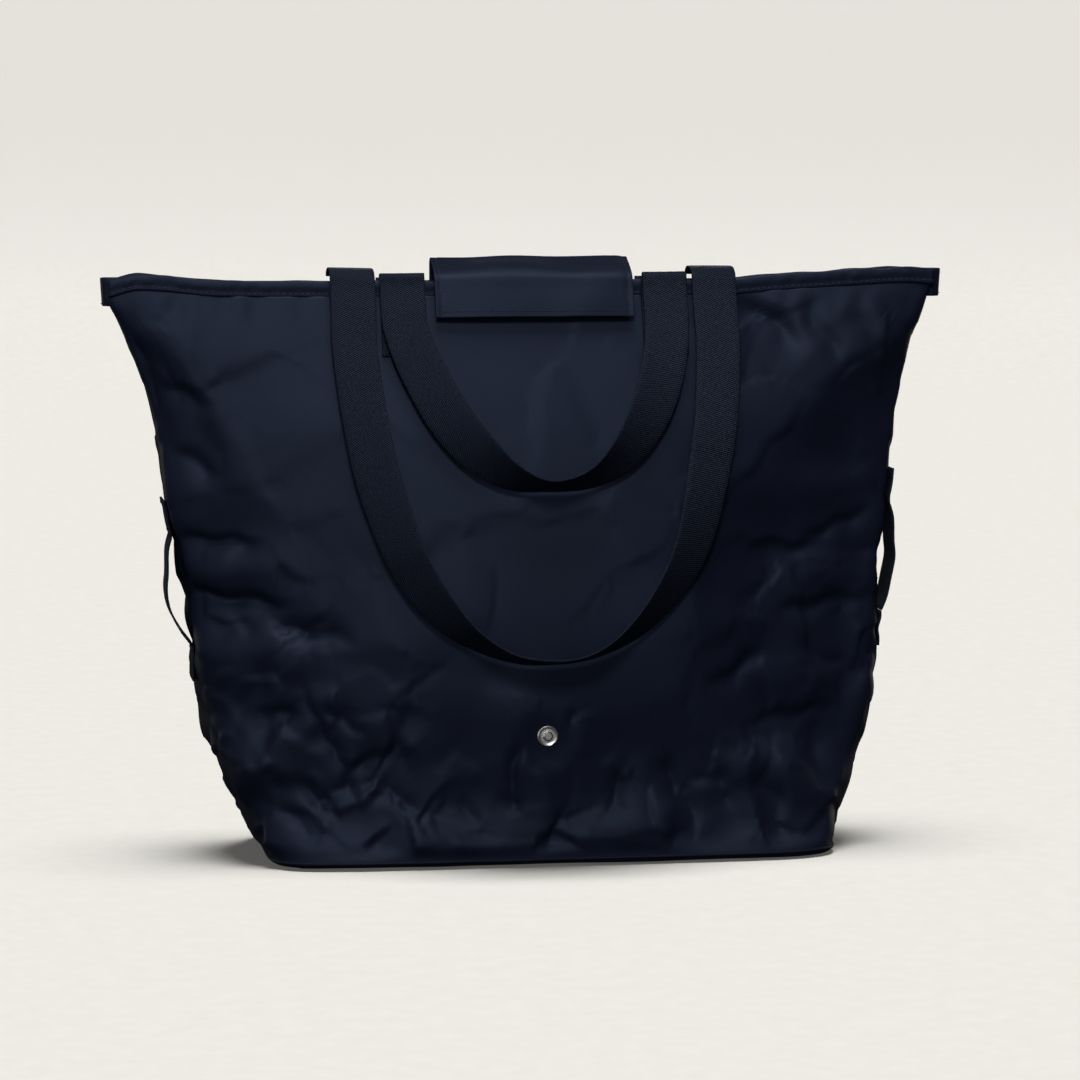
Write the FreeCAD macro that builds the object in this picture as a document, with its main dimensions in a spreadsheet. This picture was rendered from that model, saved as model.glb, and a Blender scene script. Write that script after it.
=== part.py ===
"""Foldable tote bag: nylon body on a boxed base, zip mouth, snap flap, two long handles, two side handles.

Millimetres, +Z up, +X along the mouth, front face towards -Y. The origin is the middle of the base, on the
surface that the bag stands on. Places and sizes below are expressions in the names of the sheet's cells.
"""
import FreeCAD
import Part
import Sketcher
import math
import os
import re

from FreeCAD import Placement, Rotation, Vector

DRIVING_SIZES = {
    # walls and base
    "cloth": 1.2,
    "base_width": 404,
    "base_depth": 172,
    "base_thick": 3,
    "base_corner": 14,
    "piping_dia": 3.6,
    "panel_top": 400.6,
    "top_width": 588,
    "rim_depth": 11,
    "low_height": 150,
    "low_depth": 80,
    "high_height": 300,
    "high_depth": 50,
    "side_low_height": 100,
    "side_low_half": 232,
    "side_high_height": 320,
    "side_high_half": 268,
    "seam_tape_deep": 8,
    "seam_tape_thick": 1.8,
    "trim_reach": 400,
    # top binding, zip and the folded ends of the mouth
    "hem_foot": 401,
    "hem_top": 410,
    "hem_thick": 3,
    "tape_wide": 4.6,
    "tape_thick": 0.8,
    "tape_height": 402.4,
    "coil_gap": 1.4,
    "coil_wide": 2.2,
    "coil_thick": 1.8,
    "zip_half": 276,
    "stop_long": 4,
    "slider_long": 12,
    "slider_wide": 9,
    "slider_plate": 1.4,
    "slider_neck": 1,
    "slider_play": 0.5,
    "slider_rest": 262,
    "puller_long": 32,
    "puller_wide": 7,
    "puller_thick": 1.4,
    "puller_play": 0.4,
    "puller_overlap": 8,
    "end_tab_wide": 14,
    "end_tab_thick": 2.4,
    "end_tab_drop": 20,
    "end_tab_reach": 16,
    # flap
    "flap_wide": 142,
    "flap_cloth": 1,
    "flap_foot_depth": 13.6,
    "flap_foot_height": 404,
    "flap_peak_depth": 12.6,
    "flap_peak_height": 425,
    "flap_brow_depth": 16,
    "flap_brow_height": 413,
    "flap_lip_depth": 28,
    "flap_lip_height": 383,
    # press studs
    "stud_radius": 7.3,
    "stud_rim": 1.1,
    "stud_groove": 0.6,
    "stud_post_radius": 3.6,
    "stud_post": 2.6,
    "stud_ball_radius": 2.4,
    "stud_shank_radius": 2.2,
    "shank_hole_radius": 2.5,
    "washer_radius": 6.3,
    "washer_thick": 1,
    "lower_stud_height": 92,
    "upper_stud_height": 391,
    "socket_radius": 6.9,
    "socket_bore": 2.9,
    "socket_thick": 2,
    # webbing
    "web_wide": 32,
    "web_thick": 1.6,
    "anchor_foot": 356,
    "anchor_top": 409.8,
    "anchor_offset": 93.5,
    "handle_clearance": 4.6,
    "handle_axis_height": 412.6,
    "leg_top": 395,
    "front_loop_half": 93.5,
    "front_loop_start": 366,
    "front_loop_end": 266,
    "back_loop_half": 130.5,
    "back_loop_start": 345,
    "back_loop_end": 143,
    "crossing_rise": 3.5,
    # side handles
    "side_span": 78,
    "side_bulge": 13,
    "side_tab": 26,
    "side_gap": 1,
    "left_handle_height": 191,
    "right_handle_height": 207,
}

LOOP_STEPS = 7

doc = FreeCAD.newDocument("FoldableTote")
sizes = doc.addObject("Spreadsheet::Sheet", "Sizes")
parts = []
measured = {}


def fill_sheet():
    for row, (alias, value) in enumerate(DRIVING_SIZES.items(), start=1):
        sizes.set(f"A{row}", alias)
        sizes.set(f"B{row}", str(value))
        sizes.setAlias(f"B{row}", alias)
    doc.recompute()


def measure(expression):
    """The value of an expression in the sheet's names, worked out by the sheet in a spare cell."""
    if expression not in measured:
        sizes.set("D1", f"={expression}")
        sizes.recompute()
        measured[expression] = float(sizes.get("D1"))
    return measured[expression]


def bind(owner, path, expression, unit=""):
    """Tie a property to the sheet."""
    named = re.sub(r"[a-z][a-z_]+", lambda name: f"Sizes.{name.group()}", expression)
    owner.setExpression(path, f"({named}){unit}")


def opposite(expression):
    return f"-({expression})"


def opposite_side(corners):
    """The same outline on the other side of the sketch's upright axis."""
    return [(opposite(across), up) for across, up in corners]


# --- builders ---

def new_body(label):
    body = doc.addObject("PartDesign::Body", label)
    body.Label = label
    parts.append(body)
    return body


def origin_plane(body, role):
    return next(feature for feature in body.Origin.OriginFeatures if feature.Role == role)


def new_sketch(body, name, plane="XY_Plane", offset=None):
    sketch = body.newObject("Sketcher::SketchObject", name)
    sketch.AttachmentSupport = (origin_plane(body, plane), [""])
    sketch.MapMode = "FlatFace"
    if offset is not None:
        sketch.AttachmentOffset = offset
    return sketch


def fix_point(sketch, geometry, position, across, up):
    """Tie one point of the sketch to the sheet, measured from the sketch's origin."""
    for kind, expression in (("DistanceX", across), ("DistanceY", up)):
        constraint = Sketcher.Constraint(kind, -1, 1, geometry, position, measure(expression))
        bind(sketch, f"Constraints[{sketch.addConstraint(constraint)}]", expression)


def fix_radius(sketch, geometry, expression):
    constraint = Sketcher.Constraint("Radius", geometry, measure(expression))
    bind(sketch, f"Constraints[{sketch.addConstraint(constraint)}]", expression)


def draw_outline(sketch, corners):
    """A closed outline of straight lines through corners, each an (across, up) pair of expressions."""
    places = [Vector(measure(across), measure(up), 0) for across, up in corners]
    first = sketch.GeometryCount
    for here, after in zip(places, places[1:] + places[:1]):
        sketch.addGeometry(Part.LineSegment(here, after))
    for number, (across, up) in enumerate(corners):
        following = first + (number + 1) % len(corners)
        sketch.addConstraint(Sketcher.Constraint("Coincident", first + number, 2, following, 1))
        fix_point(sketch, first + number, 1, across, up)


def draw_rectangle(sketch, low_across, high_across, low_up, high_up):
    draw_outline(sketch, [(low_across, low_up), (high_across, low_up),
                          (high_across, high_up), (low_across, high_up)])


def draw_circle(sketch, across, up, radius):
    centre = Vector(measure(across), measure(up), 0)
    number = sketch.addGeometry(Part.Circle(centre, Vector(0, 0, 1), measure(radius)))
    fix_point(sketch, number, 3, across, up)
    fix_radius(sketch, number, radius)


def draw_rounded_rectangle(sketch, half_across, half_up, radius):
    """Four lines joined by four arcs, fixed by the arcs' centres and radii."""
    flat_across, flat_up = f"{half_across} - {radius}", f"{half_up} - {radius}"
    centres = [(flat_across, opposite(flat_up), -90), (flat_across, flat_up, 0),
               (opposite(flat_across), flat_up, 90), (opposite(flat_across), opposite(flat_up), 180)]
    arcs = []
    for across, up, start in centres:
        circle = Part.Circle(Vector(measure(across), measure(up), 0), Vector(0, 0, 1), measure(radius))
        arcs.append(Part.ArcOfCircle(circle, math.radians(start), math.radians(start + 90)))
    for arc, following in zip(arcs, arcs[1:] + arcs[:1]):
        sketch.addGeometry(arc)
        sketch.addGeometry(Part.LineSegment(arc.EndPoint, following.StartPoint))
    count = 2 * len(arcs)
    for number in range(count):
        sketch.addConstraint(Sketcher.Constraint("Tangent", number, 2, (number + 1) % count, 1))
    for number, (across, up, start) in enumerate(centres):
        fix_point(sketch, 2 * number, 3, across, up)
    fix_radius(sketch, 0, radius)


def pad(body, sketch, length, side="Symmetric"):
    feature = body.newObject("PartDesign::Pad", sketch.Name + "_pad")
    feature.Profile = sketch
    feature.SideType = side
    bind(feature, "Length", length)
    return feature


def cut_away(body, sketch):
    """Remove what lies inside the sketch's outlines, right through the body."""
    feature = body.newObject("PartDesign::Pocket", sketch.Name + "_cut")
    feature.Profile = sketch
    feature.Type = "Length"
    feature.SideType = "Symmetric"
    bind(feature, "Length", "trim_reach * 4")
    return feature


def place(piece, x="0", y="0", z="0"):
    for axis, expression in zip("xyz", (x, y, z)):
        bind(piece, f"Placement.Base.{axis}", expression, " * 1 mm")


def box(label, x_span, y_span, z_span):
    """A plain rectangular piece; each span is a (low, high) pair of expressions."""
    piece = doc.addObject("Part::Box", label)
    piece.Label = label
    for side, (low, high) in zip(("Length", "Width", "Height"), (x_span, y_span, z_span)):
        bind(piece, side, f"({high}) - ({low})", " * 1 mm")
    place(piece, x_span[0], y_span[0], z_span[0])
    parts.append(piece)
    return piece


def turned(label, half_section, placement):
    """A piece turned about its own Z axis, from the (radius, height) corners of half its section."""
    body = new_body(label)
    sketch = new_sketch(body, label + "_section", "XZ_Plane")
    draw_outline(sketch, half_section)
    revolution = body.newObject("PartDesign::Revolution", label + "_turn")
    revolution.Profile = sketch
    revolution.ReferenceAxis = (sketch, ["V_Axis"])
    revolution.Angle = 360
    body.Placement = placement
    return body


# --- walls ---

PANEL_FOOT = "base_thick + piping_dia"
WALL_KNOTS = [("base_depth / 2", PANEL_FOOT), ("low_depth", "low_height"),
              ("high_depth", "high_height"), ("rim_depth", "panel_top")]
SIDE_KNOTS = [("base_width / 2", PANEL_FOOT), ("side_low_half", "side_low_height"),
              ("side_high_half", "side_high_height"), ("top_width / 2", "panel_top")]


def further_in(knots, distance):
    return [(f"{across} - {distance}", up) for across, up in knots]


def strip(knots, outside, inside):
    """The outline between two copies of the knots, moved in by the two distances."""
    return further_in(knots, outside) + further_in(knots, inside)[::-1]


def beyond(knots):
    """The outline of everything outside the knots."""
    return knots + [("trim_reach", "panel_top"), ("trim_reach", PANEL_FOOT)]


def wall_depth(height):
    """How far the front or back wall's outer face stands from the middle plane at a height."""
    levels = [(measure(up), measure(depth)) for depth, up in WALL_KNOTS]
    for (low, low_depth), (high, high_depth) in zip(levels, levels[1:]):
        if height <= high:
            return low_depth + (high_depth - low_depth) * (height - low) / (high - low)
    return measure("rim_depth")


def wall_tilt(height):
    """Degrees that the front or back wall leans inwards at a height."""
    step = 1.0
    return math.degrees(math.atan((wall_depth(height - step) - wall_depth(height + step)) / (2 * step)))


def long_wall(label, front):
    body = new_body(label)
    profile = strip(WALL_KNOTS, "0", "cloth")
    slab = new_sketch(body, label + "_profile", "YZ_Plane")
    draw_outline(slab, opposite_side(profile) if front else profile)
    pad(body, slab, "trim_reach * 2")
    sides = new_sketch(body, label + "_sides", "XZ_Plane")
    draw_outline(sides, beyond(SIDE_KNOTS))
    draw_outline(sides, opposite_side(beyond(SIDE_KNOTS)))
    cut_away(body, sides)
    if front:
        holes = new_sketch(body, label + "_stud_holes", "XZ_Plane")
        for height in ("lower_stud_height", "upper_stud_height"):
            draw_circle(holes, "0", height, "shank_hole_radius")
        cut_away(body, holes)


def side_strip(label, side, outside, inside, width):
    """A strip along the side profile, as wide as width in Y."""
    body = new_body(label)
    profile = strip(SIDE_KNOTS, outside, inside)
    sketch = new_sketch(body, label + "_profile", "XZ_Plane")
    draw_outline(sketch, profile if side > 0 else opposite_side(profile))
    pad(body, sketch, width)
    return body


def make_walls():
    long_wall("front_panel", True)
    long_wall("back_panel", False)
    between = further_in(WALL_KNOTS, "cloth")
    for name, side in (("left", -1), ("right", 1)):
        gusset = side_strip(f"{name}_gusset", side, "0", "cloth", "base_depth")
        trim = new_sketch(gusset, f"{name}_gusset_edges", "YZ_Plane")
        draw_outline(trim, beyond(between))
        draw_outline(trim, opposite_side(beyond(between)))
        cut_away(gusset, trim)
        side_strip(f"{name}_seam_tape", side, "cloth", "(cloth + seam_tape_deep)", "seam_tape_thick")


def make_base():
    base = new_body("base_panel")
    outline = new_sketch(base, "base_outline")
    draw_rounded_rectangle(outline, "base_width / 2", "base_depth / 2", "base_corner")
    pad(base, outline, "base_thick", side="One side")

    piping = new_body("base_piping")
    line = new_sketch(piping, "piping_line")
    draw_rounded_rectangle(line, "base_width / 2", "base_depth / 2", "base_corner")
    section = new_sketch(piping, "piping_section", "YZ_Plane")
    draw_circle(section, opposite("base_depth / 2"), "0", "piping_dia / 2")
    cord = piping.newObject("PartDesign::AdditivePipe", "piping_cord")
    cord.Profile = section
    cord.Spine = line
    place(piping, z="base_thick + piping_dia / 2")


# --- top binding, zip and the ends of the mouth ---

def make_hems():
    inner = "rim_depth - hem_thick"
    along = (opposite("top_width / 2"), "top_width / 2")
    upright = ("hem_foot", "hem_top")
    box("front_hem", along, (opposite("rim_depth"), opposite(inner)), upright)
    box("back_hem", along, (inner, "rim_depth"), upright)


def make_end_tabs():
    """Folded strips that close the ends of the mouth and turn down outside the corners."""
    outer, under = "top_width / 2 + end_tab_thick", "hem_top - end_tab_thick"
    fold = [("top_width / 2 - end_tab_reach", under), ("top_width / 2", under),
            ("top_width / 2", "hem_top - end_tab_drop"), (outer, "hem_top - end_tab_drop"),
            (outer, "hem_top"), ("top_width / 2 - end_tab_reach", "hem_top")]
    for name, outline in (("left", opposite_side(fold)), ("right", fold)):
        body = new_body(f"{name}_end_tab")
        sketch = new_sketch(body, f"{name}_end_fold", "XZ_Plane")
        draw_outline(sketch, outline)
        pad(body, sketch, "end_tab_wide")


def make_zip():
    tape_level = ("tape_height", "tape_height + tape_thick")
    coil_level = ("tape_height + tape_thick", "tape_height + tape_thick + coil_thick")
    whole, toothed = "zip_half", "zip_half - stop_long"
    tape_inner, tape_outer = "rim_depth - hem_thick - tape_wide", "rim_depth - hem_thick"
    coil_inner, coil_outer = "coil_gap / 2", "coil_gap / 2 + coil_wide"
    for name, near, far in (("tape", tape_inner, tape_outer), ("coil", coil_inner, coil_outer)):
        half = whole if name == "tape" else toothed
        level = tape_level if name == "tape" else coil_level
        box(f"zip_{name}_front", (opposite(half), half), (opposite(far), opposite(near)), level)
        box(f"zip_{name}_back", (opposite(half), half), (near, far), level)
    across = (opposite(coil_outer), coil_outer)
    box("zip_left_stop", (opposite(whole), opposite(toothed)), across, coil_level)
    box("zip_right_stop", (toothed, whole), across, coil_level)


def make_slider_and_puller():
    """Two plates joined by a thin neck that runs between the coils, and a flat puller lying on top."""
    neck, wide = "slider_neck / 2", "slider_wide / 2"
    lower_top = "tape_height - slider_play"
    upper_bottom = "tape_height + tape_thick + coil_thick + slider_play"
    right_half = [(wide, f"{lower_top} - slider_plate"), (wide, lower_top), (neck, lower_top),
                  (neck, upper_bottom), (wide, upper_bottom), (wide, f"{upper_bottom} + slider_plate")]
    slider = new_body("zip_slider")
    section = new_sketch(slider, "slider_section", "YZ_Plane")
    draw_outline(section, right_half + opposite_side(right_half)[::-1])
    pad(slider, section, "slider_long")
    place(slider, x="slider_rest")

    hinged_end = "slider_rest - slider_long / 2 + puller_overlap"
    underside = f"{upper_bottom} + slider_plate + puller_play"
    box("zip_puller", (f"{hinged_end} - puller_long", hinged_end),
        (opposite("puller_wide / 2"), "puller_wide / 2"), (underside, f"{underside} + puller_thick"))


# --- flap and press studs ---

def flap_line(layer):
    """The flap's section, layer cloths in from its outer face: foot, peak, brow and lip."""
    inward = f"{layer} * flap_cloth"
    return [(f"flap_foot_depth - {inward}", "flap_foot_height"),
            (f"flap_peak_depth - {inward}", f"flap_peak_height - {inward} * 1.2"),
            (f"-flap_brow_depth + {inward} * 0.7", f"flap_brow_height - {inward}"),
            (f"-flap_lip_depth + {inward}", "flap_lip_height")]


def make_flap():
    for label, layer in (("flap_outer", 0), ("flap_lining", 1)):
        body = new_body(label)
        sketch = new_sketch(body, label + "_profile", "YZ_Plane")
        draw_outline(sketch, flap_line(layer) + flap_line(layer + 1)[::-1])
        pad(body, sketch, "flap_wide")


def make_flap_socket():
    """A socket on the flap's lining, facing the upper stud."""
    inner_face = [Vector(0, measure(y), measure(z)) for y, z in flap_line(2)]
    brow, lip = inner_face[2:]
    lean = math.degrees(math.atan2(brow.y - lip.y, brow.z - lip.z))
    share_down = 0.66
    where = Placement(brow + (lip - brow) * share_down, Rotation(Vector(1, 0, 0), 90 - lean))
    turned("flap_snap_socket",
           [("socket_bore", "-socket_thick"), ("socket_radius - 0.6", "-socket_thick"),
            ("socket_radius", "0.6 - socket_thick"), ("socket_radius", "0"), ("socket_bore", "0")], where)


def make_studs():
    """Each stud stands square on the front wall, riveted through it to a washer inside."""
    washer_face = "-cloth - washer_thick"
    stud = [("0", washer_face), ("stud_shank_radius", washer_face), ("stud_shank_radius", "0"),
            ("stud_radius - 0.5", "0"), ("stud_radius", "stud_groove"), ("stud_radius - 0.8", "stud_rim"),
            ("stud_radius - 2.2", "stud_groove"), ("stud_post_radius", "stud_groove"),
            ("stud_post_radius", "stud_post - 0.8"), ("stud_ball_radius", "stud_post"), ("0", "stud_post")]
    washer = [("stud_shank_radius", washer_face), ("washer_radius", washer_face),
              ("washer_radius", "-cloth"), ("stud_shank_radius", "-cloth")]
    for name in ("lower", "upper"):
        height = measure(f"{name}_stud_height")
        square_out = Rotation(Vector(1, 0, 0), 90 - wall_tilt(height))
        where = Placement(Vector(0, -wall_depth(height), height), square_out)
        turned(f"{name}_snap_stud", stud, where)
        turned(f"{name}_snap_washer", washer, where)


# --- long handles ---

def make_anchors():
    """The sewn ends of the long handles: flat on the wall, then up over the binding."""
    foot_depth = ("rim_depth + (panel_top - anchor_foot) * (high_depth - rim_depth)"
                  " / (panel_top - high_height)")
    on_wall = [(foot_depth, "anchor_foot"), ("rim_depth", "panel_top"), ("rim_depth", "anchor_top")]
    outline = on_wall + [(f"{depth} + web_thick", up) for depth, up in on_wall[::-1]]
    for wall in ("front", "back"):
        for name, side in (("left", "-1"), ("right", "1")):
            body = new_body(f"{wall}_handle_anchor_{name}")
            sketch = new_sketch(body, f"{wall}_{name}_anchor_profile", "YZ_Plane")
            draw_outline(sketch, opposite_side(outline) if wall == "front" else outline)
            pad(body, sketch, "web_wide")
            place(body, x=f"{side} * anchor_offset")


def leg_stations(half, start):
    """The straight leg, flat against the front wall, from near the hem down to where the loop begins."""
    clearance = measure("handle_clearance")
    stations = []
    for share in (0.0, 0.6):
        height = measure("leg_top") + (start - measure("leg_top")) * share
        lean = math.radians(wall_tilt(height))
        stations.append((Vector(-half, -wall_depth(height) - clearance, height),
                         Vector(0, -math.sin(lean), -math.cos(lean)), Vector(1, 0, 0)))
    return stations


def loop_stations(half, start, end):
    """A quarter of an ellipse down to the lowest point, turning until the webbing stands out edge-on."""
    drop = start - end
    stations = []
    for step in range(LOOP_STEPS + 1):
        share = step / LOOP_STEPS
        angle = share * math.pi / 2
        height = start - drop * math.sin(angle)
        twist = math.pi / 2 * share * share * (3 - 2 * share)
        stand_out = measure("handle_clearance") + measure("web_wide / 2") * math.sin(twist)
        lean = math.radians(wall_tilt(height))
        along = Vector(half * math.sin(angle), -math.sin(lean) * math.cos(angle), -drop * math.cos(angle))
        along.normalize()
        flat = Vector(drop * math.cos(angle), 0, half * math.sin(angle))
        flat = flat - along * flat.dot(along)
        flat.normalize()
        across = flat * math.cos(twist) + along.cross(flat) * math.sin(twist)
        centre = Vector(-half * math.cos(angle), -wall_depth(height) - stand_out, height)
        stations.append((centre, along, across))
    return stations


def handle(label, crossing, half, start, end):
    """A long handle: from its hinge over the hem, then down in front, its two halves alike.

    crossing holds the (centre, run direction) pairs from the hinge to the top of the leg.
    """
    stations = [(centre, along.normalize(), Vector(1, 0, 0)) for centre, along in crossing]
    stations += leg_stations(half, start) + loop_stations(half, start, end)
    body = new_body(label)
    sections = []
    for number, (centre, along, across) in enumerate(stations):
        turn = Rotation(across, along.cross(across), along, "ZXY")
        sketch = new_sketch(body, f"{label}_section_{number}", "XY_Plane", Placement(centre, turn))
        draw_rectangle(sketch, "-web_wide / 2", "web_wide / 2", "-web_thick / 2", "web_thick / 2")
        sections.append(sketch)
    loft = body.newObject("PartDesign::AdditiveLoft", label + "_left_half")
    loft.Profile = sections[0]
    loft.Sections = sections[1:]
    loft.Ruled = True
    mirror = body.newObject("PartDesign::Mirrored", label + "_both_halves")
    mirror.Originals = [loft]
    mirror.MirrorPlane = (origin_plane(body, "YZ_Plane"), [""])
    body.Tip = mirror


def make_handles():
    axis, rise, offset = measure("handle_axis_height"), measure("crossing_rise"), measure("anchor_offset")
    hinge_depth = measure("rim_depth + web_thick / 2")
    starting, level, turning_down = Vector(0, -1, 0.3), Vector(0, -1, 0), Vector(0, -0.75, -0.9)
    front_half, back_half = measure("front_loop_half"), measure("back_loop_half")
    handle("front_handle",
           [(Vector(-offset, -hinge_depth, axis), starting),
            (Vector(-front_half, -hinge_depth - rise, axis - 1.2), turning_down)],
           front_half, measure("front_loop_start"), measure("front_loop_end"))
    handle("back_handle",
           [(Vector(-offset, hinge_depth, axis), Vector(starting)),
            (Vector(-back_half + 14, 4, axis + rise), Vector(level)),
            (Vector(-back_half, -6, axis + rise), Vector(level)),
            (Vector(-back_half, -hinge_depth - 5, axis - 1.5), Vector(turning_down))],
           back_half, measure("back_loop_start"), measure("back_loop_end"))


# --- side handles ---

def bow(body, name):
    """The strap between its sewn ends: two concentric arcs about a centre inside the bag."""
    half_chord, sagitta = "(side_span / 2 - side_gap)", "(side_bulge - side_gap)"
    radius = f"({half_chord} * {half_chord} + {sagitta} * {sagitta}) / (2 * {sagitta})"
    centre = f"side_bulge - {radius}"
    inner, thick = measure(radius), measure("web_thick")
    reach = math.asin(measure(half_chord) / inner)
    sketch = new_sketch(body, name, "XZ_Plane")
    arcs = []
    for size in (inner, inner + thick):
        circle = Part.Circle(Vector(measure(centre), 0, 0), Vector(0, 0, 1), size)
        arcs.append(Part.ArcOfCircle(circle, -reach, reach))
    inside, outside = arcs
    for piece in (inside, Part.LineSegment(inside.EndPoint, outside.EndPoint), outside,
                  Part.LineSegment(outside.StartPoint, inside.StartPoint)):
        sketch.addGeometry(piece)
    for joined in ((0, 2, 1, 1), (1, 2, 2, 2), (2, 1, 3, 1), (3, 2, 0, 1)):
        sketch.addConstraint(Sketcher.Constraint("Coincident", *joined))
    fix_point(sketch, 0, 3, centre, "0")
    fix_point(sketch, 2, 3, centre, "0")
    fix_radius(sketch, 0, radius)
    fix_radius(sketch, 2, f"{radius} + web_thick")
    for level, (geometry, end) in ((half_chord, (0, 2)), (opposite(half_chord), (0, 1))):
        constraint = Sketcher.Constraint("DistanceY", -1, 1, geometry, end, measure(level))
        bind(sketch, f"Constraints[{sketch.addConstraint(constraint)}]", level)
    for line in (1, 3):
        sketch.addConstraint(Sketcher.Constraint("PointOnObject", 0, 3, line))
    return sketch


def side_handle(name, side):
    """A short strap up the middle of a side wall, sewn flat at both ends and bowed out between them."""
    slope = "(side_high_half - side_low_half) / (side_high_height - side_low_height)"
    lean = math.degrees(math.atan(measure(slope)))
    height = measure(f"{name}_handle_height")
    out = measure("side_low_half") + (height - measure("side_low_height")) * measure(slope)
    facing = Rotation(Vector(0, 0, 1), 0 if side > 0 else 180)
    where = Placement(Vector(side * out, 0, height), facing.multiply(Rotation(Vector(0, 1, 0), lean)))

    strap = new_body(f"{name}_side_handle")
    pad(strap, bow(strap, f"{name}_bow"), "web_wide")
    strap.Placement = where
    top_end = ("side_span / 2", "side_span / 2 + side_tab")
    bottom_end = ("-side_span / 2 - side_tab", "-side_span / 2")
    for end, (low, high) in (("top", top_end), ("bottom", bottom_end)):
        sewn = new_body(f"{name}_side_handle_{end}_end")
        flat = new_sketch(sewn, f"{name}_{end}_tab", "YZ_Plane")
        draw_rectangle(flat, "-web_wide / 2", "web_wide / 2", low, high)
        pad(sewn, flat, "web_thick", side="One side")
        sewn.Placement = where


def check_and_export():
    doc.recompute()
    for item in doc.Objects:
        if "Invalid" in item.State or "Error" in item.State:
            raise RuntimeError(f"{item.Label} is {item.State}")
    os.makedirs("parts", exist_ok=True)
    for part in parts:
        shape = part.Shape
        if shape.isNull() or not shape.isValid():
            raise RuntimeError(f"{part.Label} has no valid shape")
        shape.exportStep(f"parts/{part.Label}.step")
        extent = shape.BoundBox
        print(f"{part.Label:32s} solids {len(shape.Solids)} volume {shape.Volume / 1000:8.2f} cm3"
              f"  x {extent.XMin:7.1f} {extent.XMax:7.1f}  y {extent.YMin:7.1f} {extent.YMax:7.1f}"
              f"  z {extent.ZMin:7.1f} {extent.ZMax:7.1f}")


fill_sheet()
make_walls()
make_base()
make_hems()
make_end_tabs()
make_zip()
make_slider_and_puller()
make_flap()
make_flap_socket()
make_studs()
make_anchors()
make_handles()
side_handle("left", -1)
side_handle("right", 1)
check_and_export()
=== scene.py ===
"""The tote bag's cloth, webbing, materials, light and camera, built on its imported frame."""

import math

import bpy
import numpy as np
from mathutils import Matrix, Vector, noise
from mathutils.bvhtree import BVHTree


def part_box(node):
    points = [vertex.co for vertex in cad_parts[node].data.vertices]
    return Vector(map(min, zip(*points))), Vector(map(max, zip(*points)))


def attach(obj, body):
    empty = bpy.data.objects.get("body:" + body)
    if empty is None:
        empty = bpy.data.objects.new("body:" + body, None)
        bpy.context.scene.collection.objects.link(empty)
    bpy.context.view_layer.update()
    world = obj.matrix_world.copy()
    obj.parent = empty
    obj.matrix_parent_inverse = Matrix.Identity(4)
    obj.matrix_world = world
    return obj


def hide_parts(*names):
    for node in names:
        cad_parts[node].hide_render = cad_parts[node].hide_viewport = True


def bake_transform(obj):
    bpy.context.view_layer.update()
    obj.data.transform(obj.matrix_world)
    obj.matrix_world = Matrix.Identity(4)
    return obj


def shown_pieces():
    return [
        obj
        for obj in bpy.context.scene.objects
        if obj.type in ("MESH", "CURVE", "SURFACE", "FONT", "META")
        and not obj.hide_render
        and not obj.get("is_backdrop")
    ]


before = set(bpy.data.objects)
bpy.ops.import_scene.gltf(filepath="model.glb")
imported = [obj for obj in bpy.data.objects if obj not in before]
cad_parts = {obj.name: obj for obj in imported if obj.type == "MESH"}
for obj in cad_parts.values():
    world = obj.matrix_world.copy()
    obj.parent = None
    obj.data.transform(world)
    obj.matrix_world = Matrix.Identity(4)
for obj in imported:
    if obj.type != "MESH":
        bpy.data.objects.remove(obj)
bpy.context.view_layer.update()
MM = 0.001

# ---------------------------------------------------------------- places read from the frame

WALL_LOW, WALL_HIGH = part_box("front_panel")
BASE_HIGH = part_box("base_panel")[1]
HEM_LOW, HEM_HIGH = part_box("front_hem")
ANCHOR_LOW, ANCHOR_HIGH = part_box("front_handle_anchor_right")
STUD_LOW, STUD_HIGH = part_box("lower_snap_stud")
FLAP_LOW, FLAP_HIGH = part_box("flap_outer")
FOOT, RIM = WALL_LOW.z, WALL_HIGH.z
TOP_HALF, BASE_HALF = WALL_HIGH.x, BASE_HIGH.x
BASE_DEEP, RIM_DEEP = BASE_HIGH.y, -HEM_LOW.y
WEB_WIDE = ANCHOR_HIGH.x - ANCHOR_LOW.x
WEB_THICK = 1.6 * MM
CLOTH = 1.2 * MM

# half-width, half-depth and squareness of the body's section against height
HALF_WIDTH = [(FOOT, BASE_HALF + 0.5 * MM), (0.03, 0.2125), (0.06, 0.2215), (0.10, 0.2325), (0.19, 0.2465),
              (0.25, 0.2555), (0.32, 0.268), (RIM, TOP_HALF + 3 * MM)]
HALF_DEPTH = [(FOOT, BASE_DEEP), (0.07, 0.0845), (0.15, 0.080), (0.22, 0.0685),
              (0.30, 0.050), (0.36, 0.0275), (RIM, RIM_DEEP)]
SQUARENESS = [(FOOT, 7.0), (0.04, 4.4), (0.12, 3.3), (0.25, 2.9), (0.33, 3.2), (0.38, 6.0), (RIM, 12.0)]
# how far the rim rises or sags along the mouth
RIM_RISE = [(-0.30, -0.001), (-0.278, 0.004), (-0.262, 0.003), (-0.22, -0.001), (-0.14, -0.002),
            (0.0, -0.002), (0.13, -0.002), (0.18, 0.001), (0.23, 0.004), (0.27, 0.006), (0.30, 0.004)]

FRONT_COLUMNS, SIDE_COLUMNS, ROWS = 96, 32, 76
SIDE_SHARE = 0.02  # metres that a direction counts for where a curve smooths it


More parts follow.
